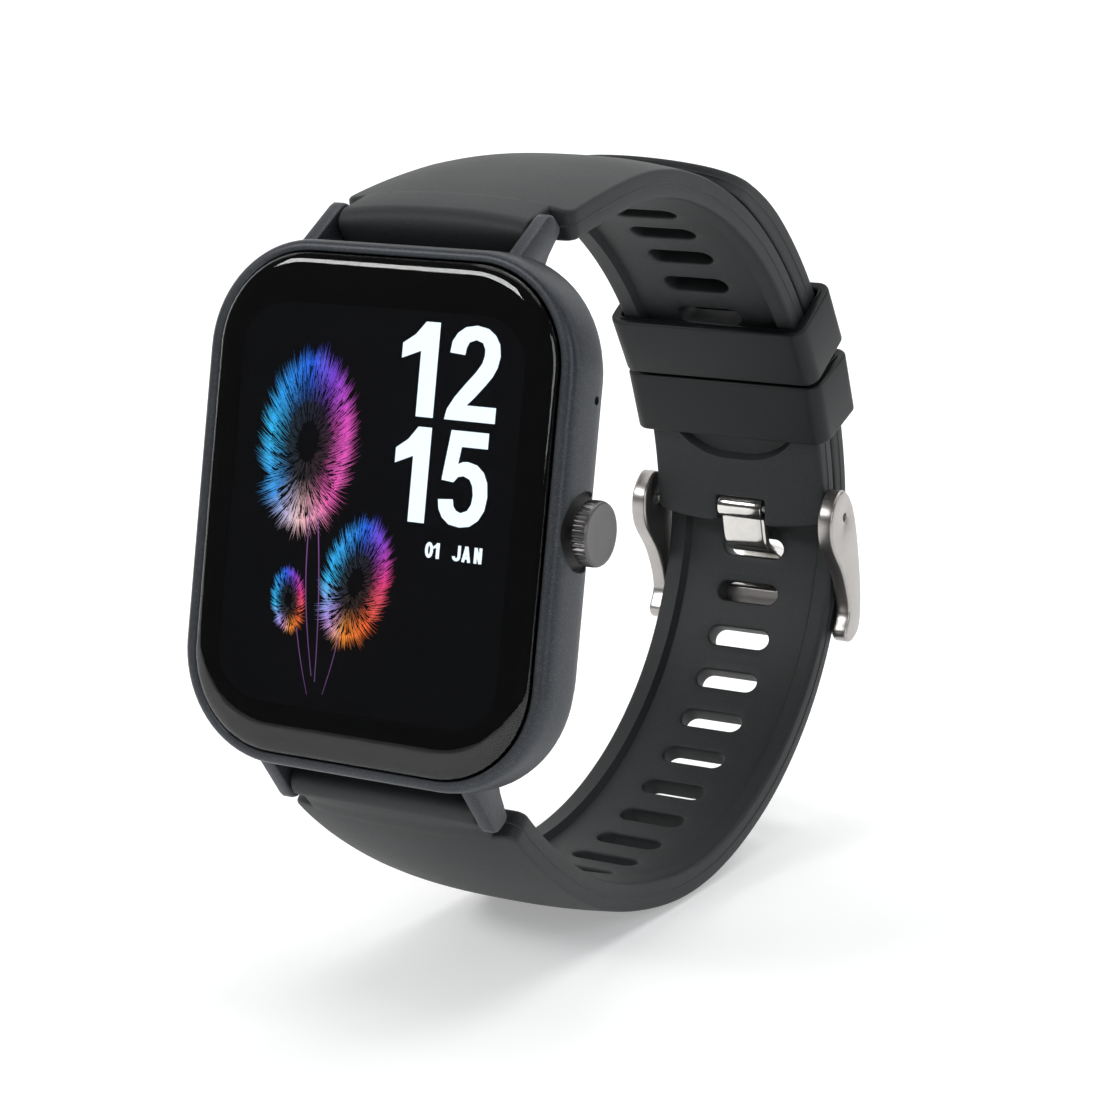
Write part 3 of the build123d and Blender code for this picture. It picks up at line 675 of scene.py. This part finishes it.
def cut(piece, cutter_parts, name):
    """Takes a closed shape out of a piece for good."""
    tool_mesh = bpy.data.meshes.new(name)
    points, faces = cutter_parts
    tool_mesh.from_pydata([place(*p) for p in points], [], faces)
    work = bmesh.new()
    work.from_mesh(tool_mesh)
    bmesh.ops.recalc_face_normals(work, faces=work.faces)
    work.to_mesh(tool_mesh)
    work.free()
    tool = bpy.data.objects.new(name, tool_mesh)
    bpy.context.scene.collection.objects.link(tool)
    modifier = piece.modifiers.new("cut", "BOOLEAN")
    modifier.object = tool
    modifier.operation = "DIFFERENCE"
    modifier.solver = "EXACT"
    bpy.context.view_layer.update()
    result = bpy.data.meshes.new_from_object(piece.evaluated_get(bpy.context.evaluated_depsgraph_get()))
    piece.modifiers.clear()
    piece.data = result
    bpy.data.objects.remove(tool)
    bpy.data.meshes.remove(tool_mesh)
    result.shade_smooth()
    result.set_sharp_from_angle(angle=math.radians(32))


def disc_rings(profile, y, z, count):
    """Round rings about an axis along X: profile lists (x, radius)."""
    return [[(x, y + r * math.cos(2 * math.pi * i / count), z + r * math.sin(2 * math.pi * i / count))
             for i in range(count)] for x, r in profile]


case = add("case_shell", *barrel(), CASE, "case", "case_metal", ["mid_case"])
recess = [(RECESS_FLOOR - 0.1, 3.3), (RECESS_FLOOR, RECESS_R), (19.0, RECESS_R), (20.0, RECESS_R + 0.4)]
cut(case, loft(disc_rings(recess, CROWN_Y, CROWN_Z, 72)), "crown_recess")
cut(case, loft(disc_rings([(15.0, 0.4), (20.0, 0.4)], 4.2, 11.5, 24)), "microphone_hole")
for z in (-14, -12, -10):
    cut(case, loft(disc_rings([(-20.0, 0.5), (-15.0, 0.5)], 4.4, z, 24)), "speaker_hole")
add("lugs", *join(*[lug(x0, sign) for x0 in (-LUG_GAP / 2 - LUG_W, LUG_GAP / 2) for sign in (1, -1)]),
    CASE, "case", "case_metal")
add("recess_floor", *loft(disc_rings([(17.6, 3.44), (18.38, 3.44), (18.42, 3.3), (18.42, 1.3), (17.6, 1.2)],
                                     CROWN_Y, CROWN_Z, 64), closed=True), SEAL, "case", "seal")


# ---- glass and display --------------------------------------------------------------------------
# (inset, depth) of the glass's rolled-over front edge
GLASS_EDGE = [(0.0, 0.16), (0.02, 0.02), (0.09, -0.11), (0.2, -0.21), (0.38, -0.31), (0.62, -0.40),
              (0.95, -0.475), (1.4, -0.53), (2.0, -0.565), (2.8, -0.588), (3.8, -0.6)]


def glass_skin():
    """The glass with its rolled-over front edge."""
    def ring(offset, y, shrink=1.0):
        w, h = (GLASS_W / 2 - offset) * shrink, (GLASS_H / 2 - offset) * shrink
        return [(u, y, v) for u, v in rounded(w, h, max(0.3, (GLASS_R - offset) * shrink), 18, 14)]

    rings = [ring(0.12, 0.72), ring(0.0, 0.6)] + [ring(o, y) for o, y in GLASS_EDGE]
    return loft(rings + [ring(3.8, -0.6, k) for k in (0.8, 0.55, 0.3, 0.08)])


add("glass", *glass_skin(), GLASS, "case", "cover_glass", ["cover_glass"], angle=50)


def flat_ring(half_w, half_h, radius, y, arc=14, straight=10):
    """A rounded rectangle at one depth."""
    return [(u, y, v) for u, v in rounded(half_w, half_h, radius, arc, straight)]


INK_GAP = 0.09               # the printed border lies this far under the glass surface
PANEL_Y, ART_Y = -0.44, -0.475
ART_SHIFT = 0.62             # how far the figures stand to the right of where their corners are listed
DISPLAY_W, DISPLAY_H, DISPLAY_R = 14.75, 17.8, 4.6


def border_ink():
    """The printed border, which follows the rolled edge of the glass from inside."""
    inset = [(0.25, 0.66), (INK_GAP, 0.6)] + [(o + INK_GAP, y + INK_GAP * 0.8) for o, y in GLASS_EDGE[:-1]]
    rings = [flat_ring(GLASS_W / 2 - o, GLASS_H / 2 - o, GLASS_R - o, y) for o, y in inset]
    rings += [flat_ring(DISPLAY_W, DISPLAY_H, DISPLAY_R, y) for y in (-0.52, 0.66)]
    return loft(rings, closed=True)


add("border_ink", *border_ink(), INK, "case", "tape")
add("display_face", *loft([flat_ring(DISPLAY_W, DISPLAY_H, DISPLAY_R, y) for y in (0.66, PANEL_Y + 0.02)]
                          + [flat_ring(DISPLAY_W - 0.15, DISPLAY_H - 0.15, DISPLAY_R - 0.1, PANEL_Y)]),
    PANEL, "case", "display", ["display_panel"])

DIGIT_LIGHT = glowing("digit_light", [(0.0, (0.80, 0.92, 1.0)), (1.0, (0.80, 0.92, 1.0))], 1.25)


def stroke(path, width):
    """A flat band of one width along a path of (u, v) points, as left and right edges."""
    left, right = [], []
    for i, here in enumerate(path):
        before, after = path[max(0, i - 1)], path[min(len(path) - 1, i + 1)]
        du, dv = after[0] - before[0], after[1] - before[1]
        size = math.hypot(du, dv)
        left.append((here[0] - dv / size * width / 2, here[1] + du / size * width / 2))
        right.append((here[0] + dv / size * width / 2, here[1] - du / size * width / 2))
    return left, right


def bow(cu, cv, ru, rv, start, end, steps):
    """Points of an elliptical arc in degrees."""
    return [(cu + ru * math.cos(math.radians(start + (end - start) * i / steps)),
             cv + rv * math.sin(math.radians(start + (end - start) * i / steps))) for i in range(steps + 1)]


def glyph(letter, bold):
    """Bands and polygons of a character in a box one unit high; bold is the stroke's width."""
    b = bold / 2
    if letter == "1":
        return [], [[(0.20, 0.0), (0.20 + bold * 1.12, 0.0), (0.20 + bold * 1.12, 1.0),
                     (0.20 + bold * 0.2, 1.0), (0.13, 0.86), (0.0, 0.76), (0.0, 0.60), (0.20, 0.69)]]
    if letter == "2":
        return [], [[(0, 0), (0.535, 0), (0.535, 0.165), (0.225, 0.165), (0.30, 0.25), (0.40, 0.38),
                     (0.47, 0.48), (0.515, 0.58), (0.535, 0.70), (0.52, 0.82), (0.47, 0.91), (0.39, 0.975),
                     (0.27, 1), (0.15, 0.975), (0.07, 0.91), (0.02, 0.82), (0.005, 0.70), (0.165, 0.685),
                     (0.175, 0.76), (0.20, 0.82), (0.27, 0.85), (0.34, 0.825), (0.37, 0.76), (0.37, 0.69),
                     (0.35, 0.61), (0.29, 0.51), (0.19, 0.38), (0.09, 0.24), (0.02, 0.11)]]
    if letter == "5":
        return [], [[(0.02, 0.475), (0.155, 0.46), (0.20, 0.52), (0.26, 0.535), (0.33, 0.505),
                     (0.365, 0.44), (0.38, 0.345), (0.37, 0.25), (0.33, 0.18), (0.26, 0.15), (0.21, 0.17),
                     (0.18, 0.21), (0.165, 0.285), (0, 0.27), (0.015, 0.17), (0.06, 0.085), (0.14, 0.02),
                     (0.26, 0), (0.37, 0.02), (0.46, 0.09), (0.52, 0.20), (0.54, 0.345), (0.525, 0.49),
                     (0.48, 0.59), (0.40, 0.66), (0.30, 0.685), (0.24, 0.68), (0.19, 0.655),
                     (0.215, 0.835), (0.50, 0.835), (0.50, 1), (0.085, 1)]]
    lines = {
        "0": [(bow(0.27, 0.5, 0.27 - b, 0.5 - b, 0, 360, 48), bold)],
        "J": [([(0.40, 1.0), (0.40, 0.34)] + bow(0.22, 0.30, 0.18, 0.30 - b, 0, -180, 18), bold)],
        "A": [([(b, 0.0), (0.30, 1.0)], bold), ([(0.30, 1.0), (0.60 - b, 0.0)], bold),
              ([(0.14, 0.27), (0.46, 0.27)], bold * 0.8)],
        "N": [([(b, 0.0), (b, 1.0)], bold), ([(b, 0.98), (0.52 - b, 0.02)], bold),
              ([(0.52 - b, 0.0), (0.52 - b, 1.0)], bold)],
    }
    return lines[letter], []


def write(letters, height, bold, stretch):
    """Characters as a flat mesh; letters lists (character, x, z) of each lower left corner."""
    points, faces = [], []
    for letter, x, z in letters:
        bands, solids = glyph(letter, bold)
        for path, width in bands:
            left, right = stroke(path, width)
            first = len(points)
            points += [(x + u * height * stretch, ART_Y, z + v * height) for u, v in left + right]
            n = len(left)
            faces += [(first + i, first + i + 1, first + n + i + 1, first + n + i) for i in range(n - 1)]
        for polygon in solids:
            first = len(points)
            points += [(x + u * height * stretch, ART_Y, z + v * height) for u, v in polygon]
            faces.append(tuple(range(first, first + len(polygon))))
    return points, faces


def lit(name, parts):
    """A flat glowing figure on the display."""
    points, faces = parts
    points = [(x + ART_SHIFT, y, z) for x, y, z in points]
    uv = [(0.45, 0.5)] * len(points)
    add(name, points, faces, DIGIT_LIGHT, "case", "display", closed=False, uv=uv)


lit("hours", write([("1", 1.55, 8.75), ("2", 6.35, 8.75)], 8.2, 0.165, 1.16))
lit("minutes", write([("1", 1.75, -0.35), ("5", 6.45, -0.35)], 8.25, 0.165, 1.10))
lit("date", write([("0", 5.60, -3.25), ("1", 6.42, -3.25), ("J", 8.45, -3.25), ("A", 9.32, -3.25),
                   ("N", 10.55, -3.25)], 1.36, 0.20, 1.12))


def plume(centre, half_w, half_h, tilt, count, length, seed):
    """A grass head: a dark oval edged with short curved strands.

    UV x is the brightness along a strand, UV y runs round the head from its foot.
    """
    chance = random.Random(seed)
    points, faces, uv = [], [], []
    c, s = math.cos(math.radians(tilt)), math.sin(math.radians(tilt))

    def put(u, v, lift, bright, hue):
        points.append((ART_SHIFT + centre[0] + u * c - v * s, ART_Y - lift, centre[1] + u * s + v * c))
        uv.append((bright, hue))

    for _ in range(count):
        around = chance.uniform(0, 2 * math.pi)
        depth = 1 - 0.75 * chance.random() ** 1.7
        if chance.random() > 0.4 + 0.6 * math.sin(around * 17 + depth * 9) ** 2:
            continue
        here = [half_w * depth * math.cos(around), half_h * depth * math.sin(around)]
        reach = length * chance.uniform(0.45, 1.2) * (0.4 + 0.6 * depth)
        # strands lean up the head, and those at the foot fan out below it
        lean = 0.8 if math.sin(around) > -0.55 else 0.0
        angle = math.atan2(math.sin(around) * half_w + lean * half_w, math.cos(around) * half_h * 0.8)
        bend = chance.uniform(0.0, 0.55) * (1 if math.cos(around) > 0 else -1)
        width = chance.uniform(0.03, 0.07)
        first, steps = len(points), 5
        hue = (math.degrees(around) + 90) % 360 / 360
        for k in range(steps + 1):
            t = k / steps
            a = angle + bend * t
            half = width * (1 - t) ** 0.8 / 2 + 0.004
            bright = max(0.0, depth - 0.45) / 0.55 * (0.42 + 0.5 * t)
            for side in (-1, 1):
                u, v = here[0] - side * half * math.sin(a), here[1] + side * half * math.cos(a)
                put(u, v, 0.02 * depth, bright, hue)
            here[0] += reach / steps * math.cos(a)
            here[1] += reach / steps * math.sin(a)
        faces += [(k, k + 1, k + 3, k + 2) for k in range(first, first + 2 * steps, 2)]
    return points, faces, uv


BLUE, CYAN, VIOLET, MAGENTA = (0.01, 0.12, 0.9), (0.02, 0.55, 1.0), (0.22, 0.05, 0.75), (0.85, 0.08, 0.6)
COOL = [(0.0, (1.0, 0.62, 0.62)), (0.12, (0.95, 0.12, 0.5)), (0.3, MAGENTA), (0.42, VIOLET), (0.52, BLUE),
        (0.62, (0.01, 0.3, 0.95)), (0.75, CYAN), (0.88, (0.05, 0.35, 0.9)), (1.0, (1.0, 0.66, 0.68))]
WARM = [(0.0, (1.0, 0.30, 0.02)), (0.14, (1.0, 0.14, 0.02)), (0.27, (0.9, 0.04, 0.22)), (0.42, VIOLET),
        (0.52, BLUE), (0.64, (0.02, 0.4, 1.0)), (0.78, CYAN), (0.90, (0.5, 0.3, 0.85)), (1.0, (1.0, 0.40, 0.05))]
for name, centre, half_w, half_h, tilt, count, length, stops in (
        ("plume_large", (-7.45, 5.6), 4.0, 7.0, -3, 3400, 1.75, COOL),
        ("plume_right", (-1.2, -6.2), 2.8, 5.0, -13, 2200, 1.3, WARM),
        ("plume_small", (-8.1, -8.5), 1.4, 2.5, 8, 900, 0.75, WARM)):
    points, faces, uv = plume(centre, half_w, half_h, tilt, count, length, len(name))
    add(name, points, faces, glowing(name + "_light", stops, 0.95), "case", "display", closed=False, uv=uv)


def stem(bottom, top, width, sway):
    """A thin stalk as a flat curved band."""
    steps = 14
    path = []
    for i in range(steps + 1):
        t = i / steps
        path.append((bottom[0] + (top[0] - bottom[0]) * t + sway * math.sin(math.pi * t),
                     bottom[1] + (top[1] - bottom[1]) * t))
    left, right = stroke(path, width)
    points = [(u + ART_SHIFT, ART_Y - 0.03, v) for u, v in left + right]
    n = len(left)
    uv = [(0.15 + 0.25 * (i % n) / n, 0.2) for i in range(2 * n)]
    return points, [(i, i + 1, n + i + 1, n + i) for i in range(n - 1)], uv


STALK = glowing("stalk_light", [(0.0, (0.6, 0.2, 0.8)), (1.0, (0.6, 0.2, 0.8))], 0.4)
for number, (bottom, top, width, sway) in enumerate((((-5.0, -14.9), (-6.6, -0.6), 0.11, -0.5),
                                                    ((-4.6, -15.4), (-5.7, -0.9), 0.11, 0.25),
                                                    ((-3.7, -16.4), (-2.4, -10.7), 0.08, 0.1),
                                                    ((-5.3, -16.6), (-7.0, -10.8), 0.08, -0.1))):
    points, faces, uv = stem(bottom, top, width, sway)
    add(f"stalk_{number}", points, faces, STALK, "case", "display", closed=False, uv=uv)


# ---- crown --------------------------------------------------------------------------------------
def crown_skin():
    """The knurled disc with a flat, slightly sunk face."""
    count = CROWN_TEETH * 8
    profile = [(CROWN_IN, 0.9, 0), (CROWN_IN, 2.45, 0), (CROWN_IN + 0.06, 2.62, 0), (CROWN_IN + 0.2, 2.86, 1),
               (CROWN_IN + 0.5, 2.88, 1), (CROWN_OUT - 0.5, 2.88, 1), (CROWN_OUT - 0.26, 2.86, 1),
               (CROWN_OUT - 0.2, 2.82, 0), (CROWN_OUT - 0.06, 2.74, 0), (CROWN_OUT - 0.01, 2.62, 0),
               (CROWN_OUT - 0.03, 2.45, 0), (CROWN_OUT - 0.05, 1.2, 0), (CROWN_OUT - 0.05, 0.3, 0)]
    rings = []
    for x, radius, tooth in profile:
        ring = []
        for i in range(count):
            a = 2 * math.pi * i / count
            r = radius - tooth * 0.17 * (0.5 + 0.5 * math.cos(a * CROWN_TEETH)) ** 1.4
            ring.append((x, CROWN_Y + r * math.cos(a), CROWN_Z + r * math.sin(a)))
        rings.append(ring)
    return loft(rings)


add("crown_disc", *crown_skin(), CROWN_METAL, "crown", "crown_metal", ["crown_cap"])


# ---- buckle -------------------------------------------------------------------------------------
def spline(points, steps=10):
    """A closed smooth curve through points."""
    out = []
    n = len(points)
    for i in range(n):
        p0, p1, p2, p3 = (points[(i + k) % n] for k in (-1, 0, 1, 2))
        for j in range(steps):
            t = j / steps
            out.append(tuple(0.5 * (2 * b + (c - a) * t + (2 * a - 5 * b + 4 * c - d) * t * t
                                    + (3 * b - a - 3 * c + d) * t**3) for a, b, c, d in zip(p0, p1, p2, p3)))
    return out


def anticlockwise(loop):
    """The loop turned so that it runs anticlockwise."""
    area = sum(a[0] * b[1] - b[0] * a[1] for a, b in zip(loop, loop[1:] + loop[:1]))
    return loop if area > 0 else loop[::-1]


def draw_in(loop, distance):
    """A loop moved inwards."""
    return [(u - n[0] * distance, v - n[1] * distance) for (u, v), n in zip(loop, normals(loop))]


CHEEK_RIM = [(-0.8, 2.9), (1.8, 1.3), (4.1, -2.7), (6.2, -8.3), (6.5, -11.9), (4.7, -13.5), (3.2, -12.7),
             (3.6, -9.9), (1.2, -6.2), (-2.3, -3.2), (-3.3, -0.4), (-2.5, 1.9)]
CHEEK_EDGE = 0.3
PIN_HOLE_R = 0.45


def cheek(x0, x1):
    """One teardrop side of the buckle with rounded edges and its pin hole."""
    rim = anticlockwise(spline([(BUCKLE_Y + y, BUCKLE_Z + z) for y, z in CHEEK_RIM]))
    outer = draw_in(rim, CHEEK_EDGE)
    hole = [(BUCKLE_Y + PIN_HOLE_R * 1.35 * math.cos(a), BUCKLE_Z + PIN_HOLE_R * 1.35 * math.sin(a))
            for a in (2 * math.pi * i / 28 for i in range(28))]
    arc = quarter(CHEEK_EDGE, 4)
    rim_steps = [(o, x0 + d) for o, d in arc] + [(o, x1 - d) for o, d in reversed(arc)]
    sink = [(0, x0), (0.1, x0 + 0.05), (0.15, x0 + 0.15), (0.15, x1 - 0.15), (0.1, x1 - 0.05), (0, x1)]

    def side_point(y, z, x):
        return x, y, z

    return plate(outer, [hole], [], rim_steps, sink, side_point)


def round_bar(loop, x0, x1, edge):
    """A bar along X of one (y, z) section with rounded ends."""
    side = normals(loop)
    steps = [(x0, edge), (x0 + edge * 0.3, edge * 0.3), (x0 + edge, 0), (x0 + (x1 - x0) / 3, 0),
             (x1 - (x1 - x0) / 3, 0), (x1 - edge, 0), (x1 - edge * 0.3, edge * 0.3), (x1, edge)]
    return loft([[(x, u - n[0] * d, v - n[1] * d) for (u, v), n in zip(loop, side)] for x, d in steps])


crossbar = [(CROSSBAR_Y + u, CROSSBAR_Z + v) for u, v in rounded(0.6, CROSSBAR_H / 2, 0.52, 8, 4)]
add("buckle_skin", *join(cheek(-CHEEK_OUT, -CHEEK_IN), cheek(CHEEK_IN, CHEEK_OUT),
                         round_bar(crossbar, -CHEEK_IN - 0.6, CHEEK_IN + 0.6, 0.2)),
    CHEEK_STEEL, "buckle", "buckle_steel", ["buckle_frame"])


def tang_skin():
    """The tongue: a polished roll round the bar and an arm through the slot with a rounded tip."""
    slot_y, slot_z = LONG.point(TANG_SLOT, STRAP_T / 2)
    knots = [(BUCKLE_Y + 0.2, BUCKLE_Z - 0.7), (slot_y - 2.2, slot_z + 0.2), (slot_y + 2.6, slot_z - 0.3),
             (CROSSBAR_Y + 1.6, CROSSBAR_Z + 2.4), (CROSSBAR_Y + 1.35, CROSSBAR_Z - 2.2)]
    path = []
    for i in range(len(knots) - 1):
        a, b = knots[i], knots[i + 1]
        for k in range(12):
            t = k / 12
            path.append((a[0] + (b[0] - a[0]) * t, a[1] + (b[1] - a[1]) * t))
    path.append(knots[-1])
    for _ in range(14):
        path = [path[0]] + [tuple((p[k] + 2 * q[k] + r[k]) / 4 for k in (0, 1))
                            for p, q, r in zip(path, path[1:], path[2:])] + [path[-1]]
    rings = []
    for i, (y, z) in enumerate(path):
        before, after = path[max(0, i - 1)], path[min(len(path) - 1, i + 1)]
        dy, dz = after[0] - before[0], after[1] - before[1]
        size = math.hypot(dy, dz)
        ny, nz = -dz / size, dy / size
        left = (len(path) - 1 - i) / 4
        shrink = 1 if left > 1 else math.sqrt(max(0.04, 1 - (1 - left) ** 2))
        section = rounded(TANG_W / 2 * (0.6 + 0.4 * shrink), TANG_T / 2 * shrink, 0.4 * TANG_T * shrink, 6, 6)
        rings.append([(u, y + ny * v, z + nz * v) for u, v in section])
    roll = [(BUCKLE_Y + 1.3 * math.cos(a), BUCKLE_Z + 1.3 * math.sin(a)) for a in
            (2 * math.pi * i / 40 for i in range(40))]
    return join(loft(rings), round_bar(roll, -TANG_W / 2, TANG_W / 2, 0.15))


add("tang_skin", *tang_skin(), TANG_STEEL, "tang", "tang_steel", ["buckle_tang"])


# ---- back ---------------------------------------------------------------------------------------
def circle(x, z, radius, count):
    """A round loop, anticlockwise."""
    return [(x + radius * math.cos(2 * math.pi * i / count), z + radius * math.sin(2 * math.pi * i / count))
            for i in range(count)]


def back_skin():
    """The back cover as a shallow dish with a raised ring round the sensor window and two contact holes."""
    def ring(offset, y):
        return flat_ring(COVER_W / 2 - offset, COVER_H / 2 - offset, COVER_R - offset, y, 16, 12)

    turn = COVER_EDGE
    steps = [(1.4, CASE_BACK + 0.06), (0.15, CASE_BACK + 0.06), (0.03, CASE_BACK + 0.12)]
    steps += [(turn * (1 - math.cos(a)), COVER_Y - turn + turn * math.sin(a))
              for a in (math.pi / 20 * i for i in range(11))] + [(2.4, COVER_Y)]
    outline = [(x, z) for x, y, z in ring(2.4, COVER_Y)]
    raised = [(0, 0), (0.1, 0.2), (0.3, 0.32), (0.6, 0.35), (1.0, 0.33), (1.24, 0.2), (1.3, -0.4)]
    sunk = [(0, 0), (0.15, -0.06), (0.25, -0.3), (0.25, -1.2)]
    holes = [(circle(0, WINDOW_Z, WINDOW_R + 1.3, 96), raised)]
    holes += [(circle(x, -13.5, 1.25, 32), sunk) for x in (-3.5, 3.5)]
    verts, faces = fill(outline, [loop for loop, wall in holes], [],
                        [(x * 1.5, z * 1.5) for x in range(-12, 13) for z in range(-15, 16)])
    skins = [loft([ring(*s) for s in steps], caps=(True, False)),
             ([(x, COVER_Y, z) for x, z in verts], faces)]
    for loop, wall in holes:
        out = normals(loop)
        skins.append(loft([[(x - n[0] * off, COVER_Y + y, z - n[1] * off) for (x, z), n in zip(loop, out)]
                           for off, y in wall], caps=(False, True)))
    return join(*skins)


back = add("back_skin", *back_skin(), BACK_PLASTIC, "case", "back_plastic", ["back_cover"])
for x in (-SCREW_X, SCREW_X):
    for z in (-SCREW_Z, SCREW_Z):
        cut(back, loft([[(u, y, v) for u, v in circle(x, z, r, 36)] for y, r in
                        ((COVER_Y - 0.75, 1.36), (COVER_Y - 0.2, 1.36), (COVER_Y + 0.4, 1.9))]), "screw_hole")
dome = [(8.9, 9.86), (8.9, 10.45), (8.8, 10.6), (8.5, 10.74), (8.0, 10.84), (7.0, 10.93), (5.0, 10.98),
        (2.5, 11.0), (0.5, 11.0)]
add("window_skin", *loft([[(x, y, z) for x, z in circle(0, WINDOW_Z, r, 96)] for r, y in dome]),
    WINDOW, "case", "sensor_window", ["sensor_window"], angle=50)


# ---- stage --------------------------------------------------------------------------------------
def stage_material(name, colour, glow):
    """A plain studio surface."""
    return principled(name, Base_Color=(*colour, 1), Roughness=0.9, Specular_IOR_Level=0.1,
                      Emission_Color=(1, 1, 1, 1), Emission_Strength=glow)[0]


def studio():
    """A pale floor that curves up behind the watch."""
    profile = [(-0.9, 0), (0.5, 0)] + [(0.5 + 0.3 * math.sin(a), 0.3 - 0.3 * math.cos(a)) for a in
                                       (math.pi / 20 * i for i in range(1, 11))] + [(0.8, 1.4)]
    mesh = bpy.data.meshes.new("floor")
    n = len(profile)
    mesh.from_pydata([(x, y, z) for x in (-1.6, 1.6) for y, z in profile], [],
                     [(i, n + i, n + i + 1, i + 1) for i in range(n - 1)])
    mesh.shade_smooth()
    mesh.materials.append(stage_material("floor_white", (0.9, 0.9, 0.9), 0.3))
    floor = bpy.data.objects.new("floor", mesh)
    floor.rotation_euler.z = math.radians(CAMERA_AZ)
    bpy.context.scene.collection.objects.link(floor)


studio()


def softbox(name, at, towards, size, watts, tint=(1, 1, 1)):
    """A rectangular studio lamp."""
    data = bpy.data.lights.new(name, "AREA")
    data.shape = "RECTANGLE"
    data.size, data.size_y = size
    data.energy = watts
    data.color = tint
    lamp = bpy.data.objects.new(name, data)
    lamp.location = at
    lamp.rotation_euler = (Vector(towards) - Vector(at)).to_track_quat("-Z", "Y").to_euler()
    bpy.context.scene.collection.objects.link(lamp)


softbox("key_top", (0.0, 0.05, 0.75), (0, 0, 0.03), (0.8, 0.8), 2.2)
softbox("left", (-0.7, 0.05, 0.35), (0, 0, 0.04), (0.35, 0.7), 0.7)
softbox("right", (0.62, 0.32, 0.3), (0, 0.02, 0.03), (0.3, 0.6), 0.9, (0.93, 0.97, 1))
softbox("right_front", (0.5, -0.5, 0.3), (0, 0.02, 0.02), (0.35, 0.35), 1.3, (0.94, 0.98, 1))
softbox("front_left", (-0.45, -0.66, 0.54), (0, 0, 0.04), (0.5, 0.17), 3.4)
softbox("backdrop", (0.2, 0.5, 1.0), (-0.4, 0.95, 0.3), (1.2, 0.4), 4)

world = bpy.data.worlds.new("studio")
world.use_nodes = True
world.node_tree.nodes["Background"].inputs["Color"].default_value = (1, 1, 1, 1)
world.node_tree.nodes["Background"].inputs["Strength"].default_value = 0.05
bpy.context.scene.world = world
bpy.context.scene.view_settings.view_transform = "Standard"

# ---- camera -------------------------------------------------------------------------------------
az, el, roll = (math.radians(a) for a in (CAMERA_AZ, CAMERA_EL, CAMERA_ROLL))
behind = Vector((math.sin(az) * math.cos(el), -math.cos(az) * math.cos(el), math.sin(el)))
right = (-behind).cross(Vector((0, 0, 1))).normalized()
up = right.cross(-behind)
right, up = right * math.cos(roll) + up * math.sin(roll), up * math.cos(roll) - right * math.sin(roll)
camera_data = bpy.data.cameras.new("camera")
camera_data.lens = CAMERA_LENS
camera_data.sensor_width = 36
camera_data.clip_start = 0.01
camera = bpy.data.objects.new("camera", camera_data)
turn = TURN @ Matrix((right, up, behind)).transposed()
camera.matrix_world = Matrix.Translation(place(*CAMERA_AT)) @ turn.to_4x4()
bpy.context.scene.collection.objects.link(camera)
bpy.context.scene.camera = camera
